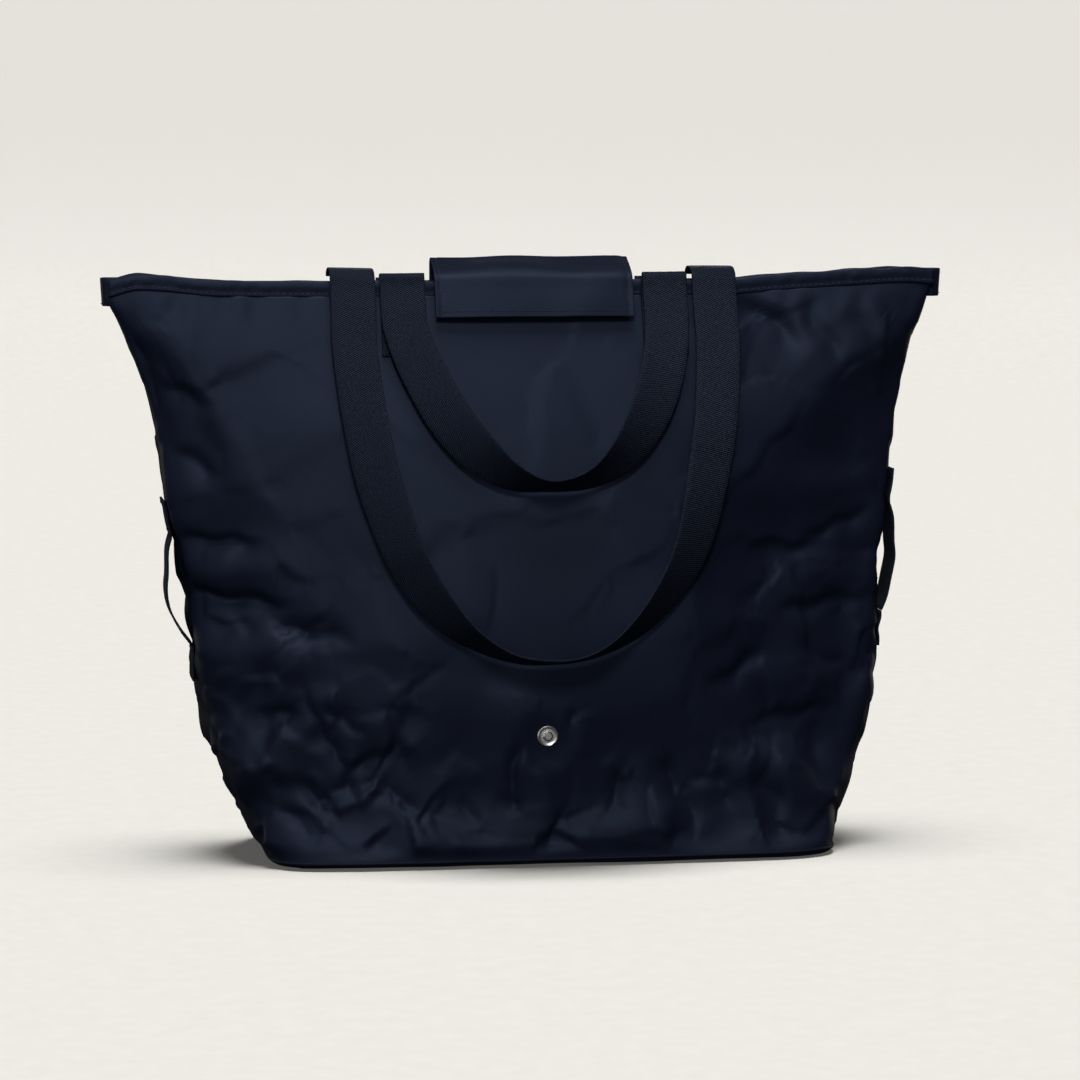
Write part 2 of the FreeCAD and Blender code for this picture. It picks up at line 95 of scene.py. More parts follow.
def through(knots, at):
    """Value of a smooth curve through (place, value) knots that never overshoots them."""
    places, values = np.array(knots, float).T
    gap = np.diff(places)
    rate = np.diff(values) / gap
    slope = np.concatenate([rate[:1], np.zeros(len(rate) - 1), rate[-1:]])
    product, total = rate[:-1] * rate[1:], rate[:-1] + rate[1:]
    safe = np.where(np.abs(total) < 1e-12, 1, total)
    slope[1:-1] = np.where(product > 0, 2 * product / safe, 0)
    at = np.clip(at, places[0], places[-1])
    i = np.clip(np.searchsorted(places, at) - 1, 0, len(gap) - 1)
    t = (at - places[i]) / gap[i]
    return ((1 + 2 * t) * (1 - t) ** 2 * values[i] + t * (1 - t) ** 2 * gap[i] * slope[i]
            + t * t * (3 - 2 * t) * values[i + 1] + t * t * (t - 1) * gap[i] * slope[i + 1])


def ease(low, high, value):
    t = np.clip((value - low) / (high - low), 0, 1)
    return t * t * (3 - 2 * t)


def unit(v):
    return v / np.maximum(np.linalg.norm(v, axis=-1, keepdims=True), 1e-12)


def distance_along(line):
    """How far along the line each of its points lies."""
    return np.concatenate([[0], np.cumsum(np.linalg.norm(np.diff(line, axis=0), axis=1))])


def curve_through(points, per_span):
    """A smooth curve through the points, with per_span new points from each one to the next."""
    p = np.array(points, float)
    p = np.vstack([2 * p[0] - p[1], p, 2 * p[-1] - p[-2]])
    fine = []
    for a, b, c, d in zip(p, p[1:], p[2:], p[3:]):
        for t in np.linspace(0, 1, per_span, endpoint=False):
            fine.append(0.5 * (2 * b + (c - a) * t + (2 * a - 5 * b + 4 * c - d) * t * t
                               + (3 * b - a - 3 * c + d) * t ** 3))
    fine.append(p[-2])
    return np.array(fine)


def at_distances(line, run, at):
    return np.stack([np.interp(at, run, line[:, k]) for k in range(line.shape[1])], 1)


def evenly(line, step):
    run = distance_along(line)
    count = max(2, int(round(run[-1] / step)) + 1)
    return at_distances(line, run, np.linspace(0, run[-1], count))


def spline(points, step):
    """Evenly spaced points along a smooth curve through given points."""
    return evenly(curve_through(points, 24), step)


def carried(line, sides, step):
    """A smooth line through the points, with the width's direction carried along it."""
    fine = curve_through(np.hstack([line, sides * SIDE_SHARE]), 6)
    run = distance_along(fine[:, :3])
    even = at_distances(fine, run, np.linspace(0, run[-1], int(run[-1] / step)))
    return even[:, :3], unit(even[:, 3:])


# ---------------------------------------------------------------- meshes


def mesh_piece(name, points, faces, face_uvs=None):
    mesh = bpy.data.meshes.new(name)
    mesh.from_pydata([tuple(p) for p in points], [], [tuple(f) for f in faces])
    if face_uvs is not None:
        layer = mesh.uv_layers.new(name="weave")
        layer.data.foreach_set("uv", np.array([c for f in face_uvs for uv in f for c in uv], np.float32))
    mesh.polygons.foreach_set("use_smooth", [True] * len(mesh.polygons))
    mesh.update()
    piece = bpy.data.objects.new(name, mesh)
    bpy.context.scene.collection.objects.link(piece)
    return piece


def grid_faces(rows, columns, closed=False):
    """Quads of a grid whose points run row by row, and each quad's (row, column) corners."""
    faces, corners = [], []
    for j in range(rows - 1):
        for i in range(columns if closed else columns - 1):
            k = (i + 1) % columns
            faces.append((j * columns + i, j * columns + k, (j + 1) * columns + k, (j + 1) * columns + i))
            corners.append(((j, i), (j, i + 1), (j + 1, i + 1), (j + 1, i)))
    return faces, corners


def apply_modifiers(piece):
    graph = bpy.context.evaluated_depsgraph_get()
    mesh = bpy.data.meshes.new_from_object(piece.evaluated_get(graph))
    piece.modifiers.clear()
    piece.data = mesh
    return piece


def swept(name, sections, uvs, closed_section=True, cap=True):
    """A skin over equal sections (rows of points), with its ends capped."""
    sections = np.array(sections, float)
    rows, columns = sections.shape[:2]
    faces, corners = grid_faces(rows, columns, closed_section)
    face_uvs = [[(uvs[0][c], uvs[1][r]) for r, c in quad] for quad in corners]
    if cap and closed_section:
        first = list(range(columns))[::-1]
        last = [(rows - 1) * columns + c for c in range(columns)]
        faces += [first, last]
        face_uvs += [[(uvs[0][c], uvs[1][0]) for c in first],
                     [(uvs[0][c], uvs[1][-1]) for c in range(columns)]]
    return mesh_piece(name, sections.reshape(-1, 3), faces, face_uvs)


def strap(name, centres, across, thick=WEB_THICK, wide=WEB_WIDE, wander=0.0, seed=0.0):
    """A flat band with rounded edges along centres, its width along the across vectors."""
    centres, across = np.array(centres, float), unit(np.array(across, float))
    along = unit(np.gradient(centres, axis=0))
    across = unit(across - along * (across * along).sum(1, keepdims=True))
    face = np.cross(along, across)
    half, edge = wide / 2, thick / 2
    flat = np.linspace(-half + edge, half - edge, 9)
    profile = [(u, -edge) for u in flat] + [(half - edge * 0.3, -edge * 0.7), (half, 0),
                                            (half - edge * 0.3, edge * 0.7)]
    profile += [(u, edge) for u in flat[::-1]] + [(-half + edge * 0.3, edge * 0.7), (-half, 0),
                                                  (-half + edge * 0.3, -edge * 0.7)]
    run = distance_along(centres)
    sections = []
    for c, a, f, s in zip(centres, across, face, run):
        drift = wander * noise.noise(Vector((s * 14, seed, 0.3)))
        cup = wander * noise.noise(Vector((s * 22, seed + 7.7, 1.3)))
        sections.append([c + a * (u + drift) + f * (w + cup * (1 - (u / half) ** 2)) for u, w in profile])
    profile_u = [u for u, _ in profile]
    profile_u.append(profile_u[0] - 2 * MM)
    return swept(name, sections, (profile_u, run))


def tube(name, centres, radius, sides=8, closed=False):
    centres = np.array(centres, float)
    if closed:
        along = unit(np.roll(centres, -1, 0) - np.roll(centres, 1, 0))
    else:
        along = unit(np.gradient(centres, axis=0))
    side = np.cross(along, [0.0, 0.0, 1.0])
    side = np.where(np.linalg.norm(side, axis=1, keepdims=True) < 1e-3, [1.0, 0.0, 0.0], side)
    side = unit(side)
    up = np.cross(side, along)
    turn = np.linspace(0, 2 * np.pi, sides, endpoint=False)
    sections = centres[:, None] + radius * (side[:, None] * np.cos(turn)[None, :, None]
                                            + up[:, None] * np.sin(turn)[None, :, None])
    if closed:
        sections = np.concatenate([sections, sections[:1]])
        centres = np.vstack([centres, centres[:1]])
    run = distance_along(centres)
    us = list(radius * np.concatenate([turn, [2 * np.pi]]))
    return swept(name, sections, (us, run), cap=not closed)


def stitches(name, line, out, pitch=4.2 * MM, length=3.1 * MM, radius=0.33 * MM):
    """A row of separate sewn stitches lying on a surface along a line, out being the surface's outward side."""
    line, out = np.array(line, float), unit(np.array(out, float))
    run = distance_along(line)
    points, faces, sides = [], [], 6
    for start in np.arange(pitch * 0.3, run[-1] - length, pitch):
        for k, (share, fat, lift) in enumerate([(0, 0.35, -0.7), (0.18, 0.9, 0.35), (0.5, 1, 0.8),
                                                (0.82, 0.9, 0.35), (1, 0.35, -0.7)]):
            at = start + share * length
            behind, c, ahead = at_distances(line, run, at + np.array([-0.5, 0, 0.5]) * MM)
            o = at_distances(out, run, [at])[0]
            side = unit(np.cross(ahead - behind, o))
            base = len(points)
            for s in range(sides):
                a = 2 * math.pi * s / sides
                points.append(c + o * radius * lift + radius * fat * (side * math.cos(a) + o * math.sin(a)))
            if k:
                faces += [(base + s, base + (s + 1) % sides, base - sides + (s + 1) % sides, base - sides + s)
                          for s in range(sides)]
    uvs = [[(points[v][0] + points[v][1], points[v][2]) for v in f] for f in faces]
    return mesh_piece(name, points, faces, uvs)


# ---------------------------------------------------------------- materials


class Nodes:
    def __init__(self, name):
        self.material = bpy.data.materials.new(name)
        self.material.use_nodes = True
        self.tree = self.material.node_tree
        self.tree.nodes.clear()
        self.output = self.add("ShaderNodeOutputMaterial")
        self.shader = self.add("ShaderNodeBsdfPrincipled")
        self.link(self.shader.outputs[0], self.output.inputs[0])

    def add(self, kind, **values):
        node = self.tree.nodes.new(kind)
        for key, value in values.items():
            setattr(node, key, value)
        return node

    def link(self, a, b):
        self.tree.links.new(a, b)

    def set(self, **values):
        for key, value in values.items():
            self.shader.inputs[key.replace("_", " ")].default_value = value

    def math(self, operation, a, b=None):
        node = self.add("ShaderNodeMath", operation=operation)
        for socket, value in zip(node.inputs, (a, b)):
            if value is None:
                continue
            if isinstance(value, (int, float)):
                socket.default_value = value
            else:
                self.link(value, socket)
        return node.outputs[0]

    def weave_uv(self, along=1.0, across=1.0):
        where = self.add("ShaderNodeUVMap", uv_map="weave")
        scale = self.add("ShaderNodeMapping")
        scale.inputs["Scale"].default_value = (across, along, 1)
        self.link(where.outputs[0], scale.inputs[0])
        return scale.outputs[0]

    def place(self, scale=1.0):
        where = self.add("ShaderNodeTexCoord")
        size = self.add("ShaderNodeMapping")
        size.inputs["Scale"].default_value = (scale,) * 3
        self.link(where.outputs["Object"], size.inputs[0])
        return size.outputs[0]

    def noise(self, vector, scale=1.0, detail=2.0, rough=0.5):
        node = self.add("ShaderNodeTexNoise")
        node.inputs["Scale"].default_value = scale
        node.inputs["Detail"].default_value = detail
        node.inputs["Roughness"].default_value = rough
        self.link(vector, node.inputs["Vector"])
        return node.outputs[0]

    def tint(self, factor, dark, light):
        ramp = self.add("ShaderNodeValToRGB")
        ramp.color_ramp.elements[0].position, ramp.color_ramp.elements[1].position = 0.3, 0.7
        ramp.color_ramp.elements[0].color = (*dark, 1)
        ramp.color_ramp.elements[1].color = (*light, 1)
        self.link(factor, ramp.inputs[0])
        self.link(ramp.outputs[0], self.shader.inputs["Base Color"])

    def spread(self, factor, low, high, socket):
        node = self.add("ShaderNodeMapRange")
        node.inputs["To Min"].default_value, node.inputs["To Max"].default_value = low, high
        self.link(factor, node.inputs["Value"])
        self.link(node.outputs[0], self.shader.inputs[socket])

    def bump(self, height, depth, strength=1.0):
        node = self.add("ShaderNodeBump")
        node.inputs["Distance"].default_value = depth
        node.inputs["Strength"].default_value = strength
        self.link(height, node.inputs["Height"])
        self.link(node.outputs[0], self.shader.inputs["Normal"])


SHEEN_TONE = (0.50, 0.66, 1.0, 1)  # dyed yarn reflects light of its own colour


def nylon(name, dark, light, rough=(0.46, 0.58), specular=0.24, thread=0.45 * MM, bump=0.05 * MM):
    """Plain-woven satin nylon: yarns both ways, each a little thicker or thinner along its length."""
    m = Nodes(name)
    warp = m.noise(m.weave_uv(along=90, across=1 / thread), detail=1)
    weft = m.noise(m.weave_uv(along=1 / thread, across=90), detail=1)
    yarns = m.math("ADD", warp, weft)
    cloud = m.noise(m.place(7), detail=3)
    m.tint(m.math("ADD", m.math("MULTIPLY", yarns, 0.35), m.math("MULTIPLY", cloud, 0.3)), dark, light)
    m.spread(m.math("ADD", m.math("MULTIPLY", yarns, 0.25), m.math("MULTIPLY", cloud, 0.5)),
             rough[0], rough[1], "Roughness")
    m.bump(yarns, bump, 0.8)
    m.set(Specular_IOR_Level=specular, Specular_Tint=SHEEN_TONE)
    return m.material


def webbing(name, dark, light, rib=1.5 * MM, slant=0.5, rough=0.55, specular=0.2, depth=0.42 * MM):
    """Twill webbing: slanting ribs across the band over fine cords along it."""
    m = Nodes(name)
    where = m.add("ShaderNodeSeparateXYZ")
    m.link(m.weave_uv(), where.inputs[0])
    u, v = where.outputs[0], where.outputs[1]
    phase = m.math("MULTIPLY", m.math("ADD", v, m.math("MULTIPLY", u, slant)), 2 * math.pi / rib)
    ribs = m.math("MULTIPLY_ADD", m.math("SINE", phase), 0.5)
    ribs.node.inputs[2].default_value = 0.5
    cords = m.math("MULTIPLY_ADD", m.math("SINE", m.math("MULTIPLY", u, 2 * math.pi / (1.7 * MM))), 0.5)
    cords.node.inputs[2].default_value = 0.5
    wear = m.noise(m.weave_uv(along=300, across=900), detail=2)
    height = m.math("ADD", m.math("MULTIPLY", ribs, 0.8), m.math("MULTIPLY", m.math("ADD", cords, wear), 0.15))
    # colour: the ribs' crests lighter and the grooves between them painted darker as painted shade, mixed with a
    # random tone
    m.tint(m.math("ADD", m.math("MULTIPLY", ribs, 0.5), m.math("MULTIPLY", wear, 0.5)), dark, light)
    m.spread(ribs, rough + 0.12, rough - 0.08, "Roughness")
    m.bump(height, depth, 0.9)
    m.set(Specular_IOR_Level=specular, Specular_Tint=SHEEN_TONE)
    return m.material


def thread_material(name, dark, light):
    m = Nodes(name)
    twist = m.noise(m.place(2500), detail=1)
    m.tint(twist, dark, light)
    m.spread(twist, 0.38, 0.55, "Roughness")
    m.bump(twist, 0.04 * MM, 0.6)
    m.set(Specular_IOR_Level=0.4)
    return m.material


def metal(name, dark, light, rough=(0.16, 0.34)):
    """Plated metal with fine turning marks and a few dull patches."""
    m = Nodes(name)
    brushed = m.noise(m.place(900), detail=3)
    patches = m.noise(m.place(160), detail=4, rough=0.6)
    m.tint(patches, dark, light)
    m.spread(m.math("ADD", m.math("MULTIPLY", brushed, 0.5), m.math("MULTIPLY", patches, 0.5)),
             rough[0], rough[1], "Roughness")
    m.bump(brushed, 0.02 * MM, 0.5)
    m.set(Metallic=1.0)
    return m.material


NYLON = nylon("body_nylon", (0.0062, 0.0080, 0.0190), (0.0100, 0.0128, 0.0280))
LINING = nylon("lining_nylon", (0.006, 0.0075, 0.017), (0.010, 0.012, 0.026), rough=(0.5, 0.62), specular=0.12)
# each band's first colour is mostly the painted shade in its rib grooves, its second colour the ribs' crests
WEBBING = webbing("webbing", (0.0016, 0.0022, 0.0045), (0.0200, 0.0255, 0.0450))
PIPING = webbing("piping", (0.004, 0.005, 0.009), (0.010, 0.012, 0.020), rib=0.9 * MM, depth=0.1 * MM)
BINDING = webbing("binding_tape", (0.004, 0.005, 0.009), (0.009, 0.011, 0.018), rib=0.8 * MM, depth=0.1 * MM)
ZIP_TAPE = webbing("zip_tape", (0.003, 0.004, 0.007), (0.009, 0.011, 0.018), rib=0.7 * MM, slant=1.0,
                   depth=0.08 * MM)
THREAD = thread_material("sewing_thread", (0.006, 0.008, 0.016), (0.020, 0.025, 0.045))
COIL = thread_material("zip_coil", (0.006, 0.007, 0.011), (0.014, 0.016, 0.024))
ZIP_METAL = metal("zip_metal", (0.10, 0.10, 0.11), (0.20, 0.20, 0.21))
SNAP_METAL = metal("snap_metal", (0.66, 0.65, 0.63), (0.84, 0.83, 0.81), rough=(0.30, 0.44))


WALLS = "walls"  # the shell's cloth, between the front, which is fixed, and the back, which swings in


def dress(piece, material, slot_name, body, *stands_for):
    """Gives a piece its material, what it moves with and the frame's nodes that it stands for."""
    piece.data.materials.clear()
    piece.data.materials.append(material)
    if body == WALLS:
        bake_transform(piece)
    else:
        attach(piece, body)
    if stands_for:
        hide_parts(*stands_for)


def sew(name, line, out, slot_name, body, **sizes):
    """A row of stitches in the thread's material."""
    dress(stitches(name, line, out, **sizes), THREAD, slot_name, body)


CLOSE = dict(pitch=3.2 * MM, length=2.5 * MM)  # stitches through webbing
FINE = dict(pitch=3.4 * MM, length=2.6 * MM, radius=0.3 * MM)  # stitches on the flap


# ---------------------------------------------------------------- the body: one lofted shell that sags


def superellipse(half_wide, half_deep, power, first, last, count):
    """Points spaced evenly along part of a superellipse between two of its parameters."""
    t = np.linspace(first, last, 241)
    x = half_wide * np.sign(np.cos(t)) * np.abs(np.cos(t)) ** (2 / power)
    y = half_deep * np.sign(np.sin(t)) * np.abs(np.sin(t)) ** (2 / power)
    run = np.concatenate([[0], np.cumsum(np.hypot(np.diff(x), np.diff(y)))])
    at = np.linspace(0, run[-1], count, endpoint=False)
    return np.stack([np.interp(at, run, x), np.interp(at, run, y)], 1)


# the soft body leans a little: its foot to the right of its mouth
LEAN = [(FOOT, 0.009), (0.10, 0.005), (0.22, 0.0), (0.36, -0.003), (RIM, -0.005)]


def ring(height):
    wide = float(through(HALF_WIDTH, height))
    deep = float(through(HALF_DEPTH, height))
    power = float(through(SQUARENESS, height))
    quarter = math.pi / 4
    parts = [superellipse(wide, deep, power, (-3 + 2 * k) * quarter, (-1 + 2 * k) * quarter, n)
             for k, n in enumerate((FRONT_COLUMNS, SIDE_COLUMNS, FRONT_COLUMNS, SIDE_COLUMNS))]
    flat = np.concatenate(parts)
    flat[:, 0] += float(through(LEAN, height))
    rise = through(RIM_RISE, flat[:, 0]) * ease(0.30, RIM, height)
    return np.column_stack([flat, height + rise])


def wall_grid():
    return np.array([ring(h) for h in np.linspace(FOOT, RIM, ROWS)])


def finer(grid):
    """Twice as many rows and columns, new ones on smooth curves through the old; columns close on themselves."""
    def between(g, wrap):
        if wrap:
            a, d = np.roll(g, 1, 0), np.roll(g, -2, 0)
            c = np.roll(g, -1, 0)
            mid = (9 * (g + c) - a - d) / 16
            out = np.empty((2 * len(g),) + g.shape[1:])
            out[0::2], out[1::2] = g, mid
            return out
        padded = np.concatenate([2 * g[:1] - g[1:2], g, 2 * g[-1:] - g[-2:-1]])
        mid = (9 * (padded[1:-2] + padded[2:-1]) - padded[:-3] - padded[3:]) / 16
        out = np.empty((2 * len(g) - 1,) + g.shape[1:])
        out[0::2], out[1::2] = g, mid
        return out

    grid = between(grid, False)
    return between(grid.transpose(1, 0, 2), True).transpose(1, 0, 2)


def normals_of(grid):
    across = np.roll(grid, -1, 1) - np.roll(grid, 1, 1)
    up = np.gradient(grid, axis=0)
    return unit(np.cross(across, up))


def settle(grid):
    """Cloth simulation of the walls, hung from the rim and sewn to the base, blown out a little by what it holds."""
    rows, columns = grid.shape[:2]
    faces, _ = grid_faces(rows, columns, True)
    cloth_piece = mesh_piece("settling", grid.reshape(-1, 3), faces)
    held = cloth_piece.vertex_groups.new(name="held")
    points = grid.reshape(-1, 3)
    # slight unevenness that settles where the cloth buckles, the same in every run
    uneven = np.array([noise.noise(Vector(p) * 26) + 0.5 * noise.noise(Vector(p) * 55) for p in points])
    points = points + normals_of(grid).reshape(-1, 3) * (uneven * 1.6 * MM)[:, None]
    cloth_piece.data.vertices.foreach_set("co", points.ravel())
    rim_or_foot = np.arange(len(points)) // columns
    fixed = (rim_or_foot < 1) | (rim_or_foot > rows - 4)
    held.add([int(i) for i in np.nonzero(fixed)[0]], 1.0, "REPLACE")
    cloth = cloth_piece.modifiers.new("cloth", "CLOTH")
    s = cloth.settings
    s.quality, s.mass = 5, 0.15
    s.tension_stiffness = s.compression_stiffness = 18
    s.shear_stiffness, s.bending_stiffness = 8, 0.25
    s.tension_damping = s.compression_damping = 5
    s.air_damping = 2
    s.vertex_group_mass = "held"
    s.pin_stiffness = 1
    s.shrink_min = -0.016
    s.use_pressure = True
    s.uniform_pressure_force = 0.35
    s.effector_weights.gravity = 0.35
    cloth.collision_settings.use_collision = False
    cloth.collision_settings.use_self_collision = False
    scene = bpy.context.scene
    for f in range(1, 19):
        scene.frame_set(f)
    graph = bpy.context.evaluated_depsgraph_get()
    result = cloth_piece.evaluated_get(graph).to_mesh()
    out = np.zeros(len(points) * 3)
    result.vertices.foreach_get("co", out)
    cloth_piece.modifiers.clear()
    mesh = cloth_piece.data
    bpy.data.objects.remove(cloth_piece)
    bpy.data.meshes.remove(mesh)
    scene.frame_set(1)
    return out.reshape(grid.shape)


# Folds of the front wall: (from x, z) (to x, z), width, depth inward, how much steeper the upper side is.
# In millimetres.
FRONT_FOLDS = [
    # left side, top to bottom
    ((-286, 386), (-262, 300), 13, 3.5, 0.4),
    ((-262, 338), (-232, 324), 8, 3.5, 0.8),
    ((-252, 292), (-226, 276), 9, 4.0, 0.5),
    ((-250, 233), (-200, 230), 7, 5.5, 1.0),
    ((-246, 196), (-182, 187), 9, 8.0, 1.0),
    ((-234, 175), (-204, 172), 6, 3.6, 0.8),
    ((-190, 172), (-138, 163), 8, 6.0, -0.6),
    ((-188, 152), (-150, 182), 6, 3.0, 0.5),
    ((-200, 114), (-172, 111), 7, 3.5, 0.9),
    ((-225, 78), (-196, 150), 12, 3.0, 0.3),
    # crumpled lower left
    ((-172, 132), (-150, 84), 6, 3.0, 0.7),
    ((-160, 118), (-128, 96), 5, 2.6, -0.7),
    ((-150, 92), (-134, 50), 6, 3.0, 0.5),
    ((-138, 76), (-104, 88), 6, 2.6, 0.8),
    ((-128, 58), (-92, 46), 7, 2.8, -0.6),
    ((-176, 66), (-150, 40), 8, 3.2, 0.5),
    ((-190, 46), (-166, 28), 8, 3.0, -0.4),
    ((-112, 112), (-98, 74), 6, 2.2, 0.6),
    ((-136, 97), (-64, 150), 4, 1.1, 0.2),
    # above the base
    ((-20, 88), (-26, 64), 6, 4.4, 0.9),
    ((-26, 66), (-22, 44), 6, 3.6, 0.9),
    ((12, 97), (20, 110), 5, 2.6, 0.5),
    ((48, 68), (50, 46), 9, 3.4, 0.2),
    ((88, 74), (90, 52), 9, 4.5, 0.5),
    ((92, 54), (106, 34), 9, 4.5, -0.4),
    ((152, 62), (172, 40), 11, 3.4, 0.2),
    ((-58, 48), (-52, 36), 8, 2.4, 0.2),
    ((14, 44), (20, 30), 9, 1.6, 0.2),
    ((124, 66), (132, 44), 8, 2.2, 0.3),
    # right side, top to bottom
    ((148, 396), (192, 366), 13, 7.5, 0.6),
    ((196, 388), (222, 352), 9, 3.6, 0.3),
    ((232, 384), (258, 352), 8, 2.6, 0.4),
    ((114, 234), (205, 329), 10, 2.4, 0.9),
    ((205, 329), (256, 362), 10, 2.4, 0.9),
    ((152, 224), (206, 219), 8, 5.0, 1.0),
    ((196, 226), (240, 244), 7, 3.4, 0.6),
    ((174, 177), (236, 184), 9, 5.0, 0.9),
    ((118, 124), (156, 147), 10, 4.2, 0.7),
    ((150, 99), (212, 107), 9, 4.6, 0.9),
    ((190, 150), (226, 132), 9, 3.4, 0.5),
    ((196, 84), (214, 46), 10, 3.0, 0.3),
]
# Broad swells: (centre x, z), (reach in x, z), height outward. In millimetres.
FRONT_SWELLS = [
    ((0, 235), (150, 150), 2.5),
    ((-232, 262), (36, 34), 4.0),
    ((-222, 212), (34, 14), 4.5),
    ((-218, 150), (34, 18), 4.0),
    ((-160, 148), (30, 16), 2.0),
    ((-164, 122), (16, 10), 2.4),
    ((-98, 88), (18, 12), 2.0),
    ((-140, 63), (16, 12), 2.4),
    ((-205, 60), (24, 26), 3.0),
    ((66, 62), (20, 24), 3.0),
    ((130, 62), (22, 22), 2.6),
    ((178, 62), (18, 22), 2.6),
    ((170, 262), (44, 22), 3.0),
    ((212, 262), (26, 14), 3.2),
    ((206, 200), (30, 12), 3.4),
    ((190, 130), (34, 14), 3.2),
    ((140, 176), (28, 22), 2.0),
]
# Where the front starts to turn away on each side, against height. In metres.
RIGHT_TURN = [(0.0, 0.215), (0.06, 0.180), (0.095, 0.125), (0.13, 0.108), (0.18, 0.104), (0.234, 0.114),
              (0.285, 0.158), (0.329, 0.205), (0.362, 0.256), (0.40, 0.290)]
LEFT_TURN = [(0.0, -0.215), (0.08, -0.200), (0.18, -0.178), (0.234, -0.173), (0.263, -0.191), (0.325, -0.227),
             (0.40, -0.290)]
# Side folds: height, depth across the gusset from y to y, width, depth inward; one list for each side. In millimetres.
LEFT_FOLDS = [((-60, 232), (40, 224), 9, 6.0), ((-70, 192), (70, 186), 12, 8.5), ((-40, 150), (60, 158), 9, 4.5),
              ((-64, 112), (10, 104), 8, 4.0), ((-20, 76), (66, 84), 9, 4.0), ((-36, 296), (36, 288), 12, 4.5),
              ((0, 340), (2, 120), 26, 5.0)]
RIGHT_FOLDS = [((-56, 258), (50, 250), 9, 5.0), ((-66, 216), (70, 208), 12, 7.5), ((-50, 178), (50, 186), 8, 4.0),
               ((-66, 132), (20, 124), 9, 4.5), ((-10, 88), (70, 96), 9, 4.0), ((-30, 316), (30, 308), 12, 4.0),
               ((0, 350), (-2, 120), 26, 5.0)]
BACK_FOLDS = [((-230, 240), (-150, 214), 10, 5.0, 0.8), ((-236, 170), (-140, 176), 10, 5.0, -0.6),
              ((-190, 120), (-120, 84), 9, 4.0, 0.6), ((-60, 70), (-20, 44), 9, 3.4, 0.4),
              ((30, 92), (70, 50), 9, 3.6, 0.6), ((120, 60), (170, 100), 9, 3.8, -0.5),
              ((150, 160), (236, 150), 10, 5.0, 0.8), ((140, 236), (226, 216), 9, 4.4, 0.8),
              ((-250, 330), (-200, 290), 10, 3.0, 0.5), ((210, 300), (256, 346), 10, 3.0, 0.5),
              ((-40, 170), (60, 150), 14, 2.0, 0.3), ((-110, 290), (-60, 250), 14, 1.6, 0.3)]


def fold_depth(a, b, start, end, width, depth, skew=0.0):
    """How far a tapering fold from start to end pushes each point (a, b) inward."""
    start, end, width, depth = np.array(start) * MM, np.array(end) * MM, width * MM, depth * MM
    run = end - start
    length = np.hypot(*run)
    run = run / length
    along = (a - start[0]) * run[0] + (b - start[1]) * run[1]
    side = -(a - start[0]) * run[1] + (b - start[1]) * run[0]
    taper = ease(-width, length * 0.3, along) * ease(-width, length * 0.3, length - along)
    wobble = 0.18 * width * np.sin(along / width * 1.7 + start[0] * 90)
    reach = np.where(side + wobble > 0, width * (1 - 0.45 * skew), width * (1 + 0.45 * skew))
    q = np.abs(side + wobble) / np.maximum(reach, 1e-5)
    return depth * taper * (np.exp(-1.9 * q) * 0.55 + np.exp(-q * q * 1.5) * 0.45)


def facets(points, cell, seed, slope=0.22):
    """Flat, tilted patches that meet in narrow creases, as in crumpled nylon: the height of each point."""
    heights = []
    for p in points:
        bent = Vector(p) + 0.35 * cell * noise.noise_vector(Vector(p) / cell * 0.8 + Vector((seed, 0, 0)))
        where = bent / cell + Vector((0, seed, 0))
        apart, nearest = noise.voronoi(where)
        rise = []
        for centre in nearest[:2]:
            tilt = noise.cell_vector(centre * 7.3 + Vector((seed, 3, 5)))
            rise.append((where - centre).dot(tilt * 2 - Vector((1, 1, 1))))
        blend = min(1.0, (apart[1] - apart[0]) / 0.30)
        blend = 0.5 + 0.5 * blend * (2 - blend)
        heights.append(cell * slope * (rise[0] * blend + rise[1] * (1 - blend)))
    return np.array(heights)


